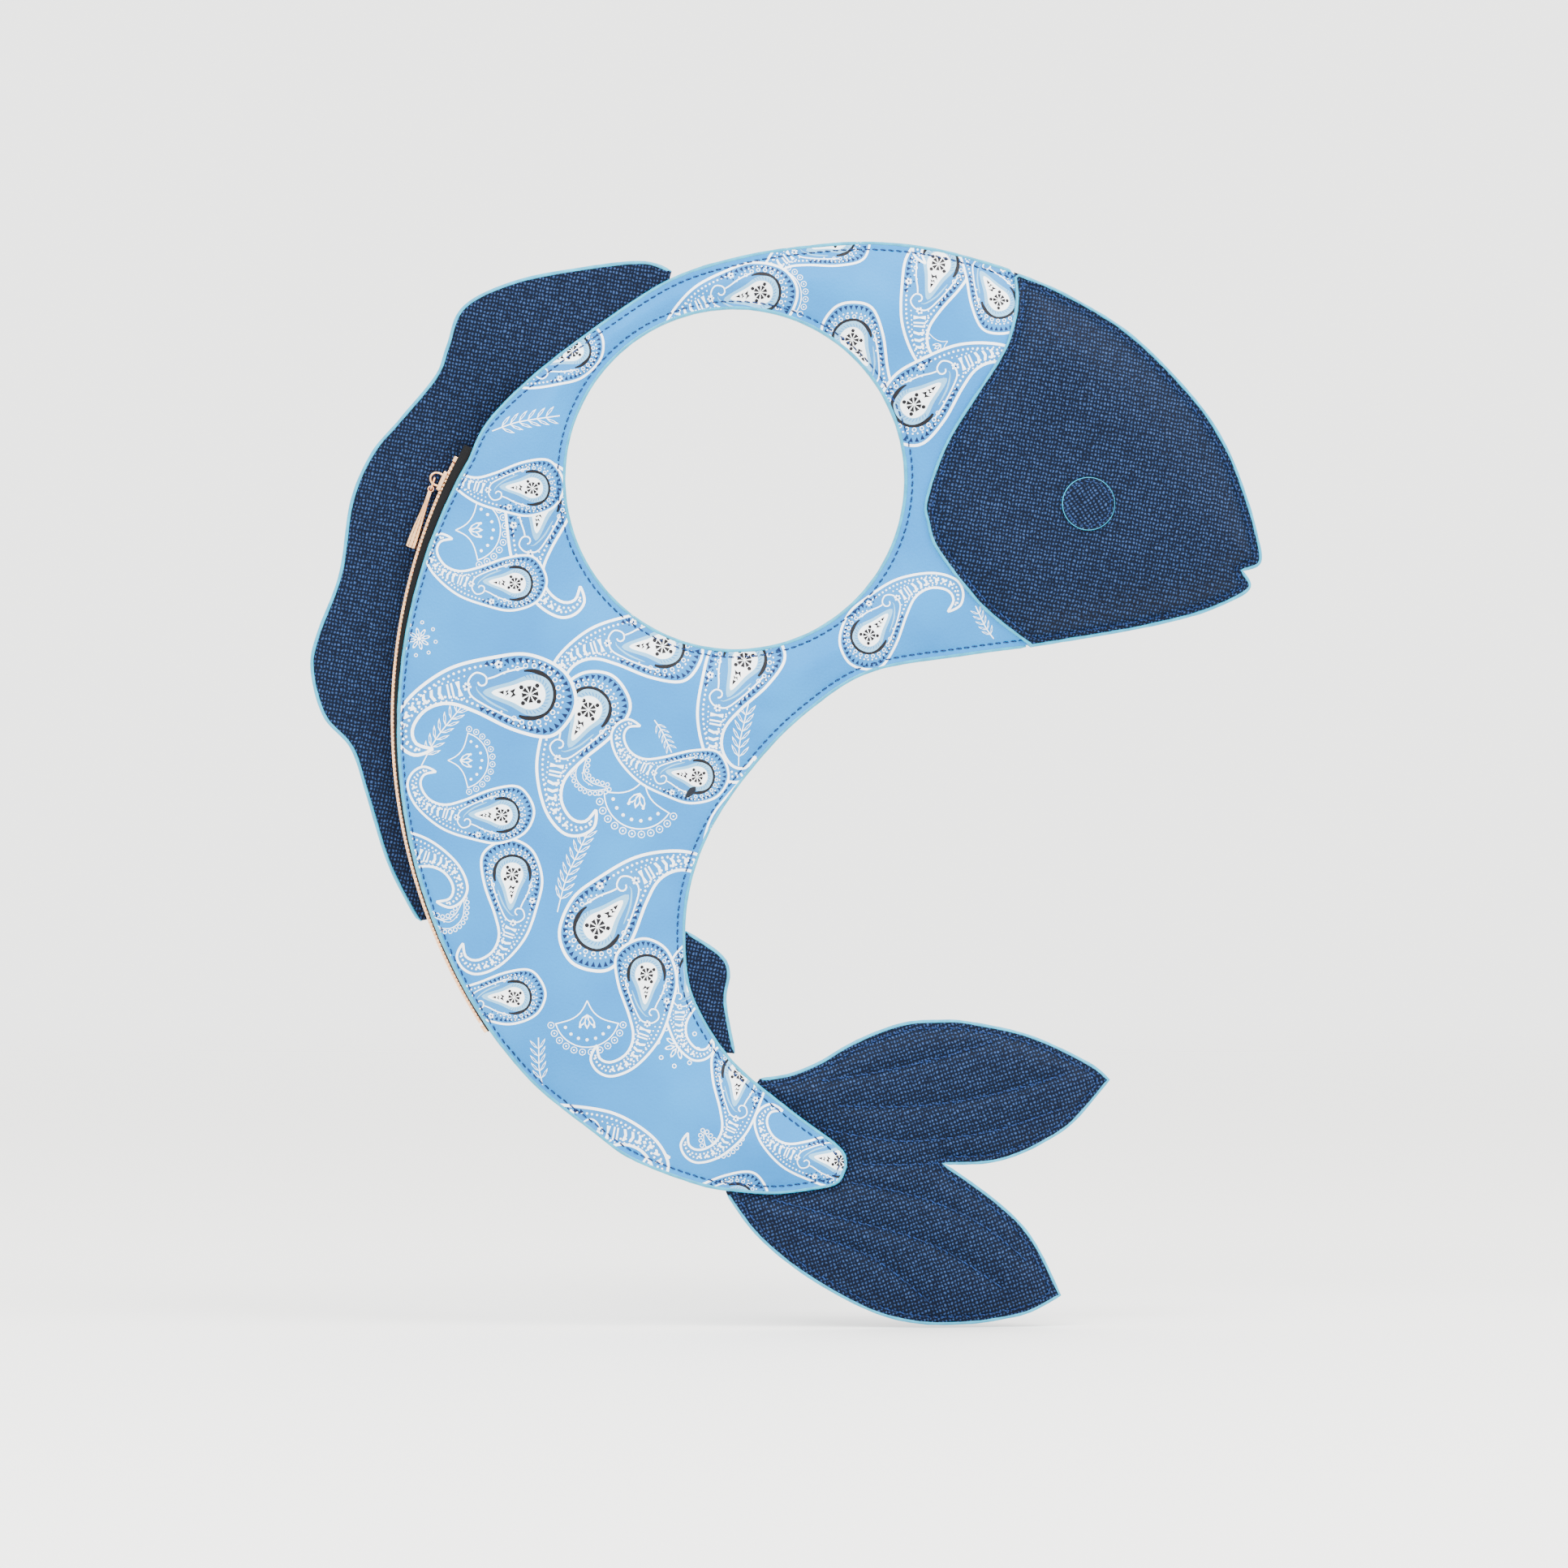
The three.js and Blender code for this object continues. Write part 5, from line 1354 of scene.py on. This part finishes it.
# ---------------------------------------------------------------- floor, light and camera
# A pale paper floor under the tail, which thins out into the even light of the room.
FLOOR_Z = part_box("front_tail")[0].z - 0.0008
FLOOR_REACH = 4.0
floor_material, floor_tree, floor_bsdf = new_material("pale_matt_paper", "#F1F0EE", 0.85,
                                                      Specular_IOR_Level=0.1)
paper = add(floor_tree, "ShaderNodeTexCoord").outputs["Object"]
spread = add(floor_tree, "ShaderNodeMapping", {"Vector": paper}, vector_type="TEXTURE")
spread.inputs["Location"].default_value = (0, 0, FLOOR_Z)
spread.inputs["Scale"].default_value = (FLOOR_REACH, FLOOR_REACH, FLOOR_REACH)
fade = add(floor_tree, "ShaderNodeTexGradient", {"Vector": spread.outputs["Vector"]},
           gradient_type="SPHERICAL")
thin = add(floor_tree, "ShaderNodeMapRange", {"Value": fade.outputs["Fac"]}, From_Min=0.0, From_Max=0.6)
floor_tree.links.new(thin.outputs["Result"], floor_bsdf.inputs["Alpha"])
fibre = add(floor_tree, "ShaderNodeTexNoise", {"Vector": paper}, Scale=per_mm(3), Detail=3.0)
tooth_of_paper = add(floor_tree, "ShaderNodeBump", {"Height": fibre.outputs["Fac"]}, Strength=0.3,
                     Distance=0.05 * MM)
floor_tree.links.new(tooth_of_paper.outputs["Normal"], floor_bsdf.inputs["Normal"])
half = FLOOR_REACH / MM
floor = new_object("paper_floor", [(-half, -half, FLOOR_Z / MM), (half, -half, FLOOR_Z / MM),
                                   (half, half, FLOOR_Z / MM), (-half, half, FLOOR_Z / MM)],
                   [(0, 1, 2, 3)], [floor_material])


def area_light(name, energy, size, place_at, look_at):
    data = bpy.data.lights.new(name, "AREA")
    data.energy, data.size = energy, size
    light = bpy.data.objects.new(name, data)
    bpy.context.scene.collection.objects.link(light)
    light.location = place_at
    light.rotation_euler = (Vector(look_at) - Vector(place_at)).to_track_quat("-Z", "Y").to_euler()


TARGET = Vector((0.0216, 0, -0.209))
area_light("key_softbox", 52, 1.1, (-0.9, -1.5, 1.5), TARGET)
area_light("top_softbox", 72, 1.3, (1.0, -1.2, 1.9), TARGET)
area_light("fill_softbox", 8, 2.4, (1.2, -2.4, 0.4), TARGET)
world = bpy.data.worlds.new("soft_room")
world.use_nodes = True
world.node_tree.nodes["Background"].inputs["Color"].default_value = linear("#FBFBF9")
world.node_tree.nodes["Background"].inputs["Strength"].default_value = 3.3
bpy.context.scene.world = world

CAMERA_DISTANCE = 3.2
VIEW_WIDTH = 0.690
VIEW_TURN = math.radians(-4)
camera_data = bpy.data.cameras.new("camera")
camera_data.sensor_width = 36
camera_data.lens = 36 * CAMERA_DISTANCE / VIEW_WIDTH
camera_data.clip_end = 20
camera = bpy.data.objects.new("camera", camera_data)
bpy.context.scene.collection.objects.link(camera)
camera.location = TARGET + CAMERA_DISTANCE * Vector((math.sin(VIEW_TURN), -math.cos(VIEW_TURN), 0))
camera.rotation_euler = (TARGET - camera.location).to_track_quat("-Z", "Y").to_euler()
bpy.context.scene.camera = camera
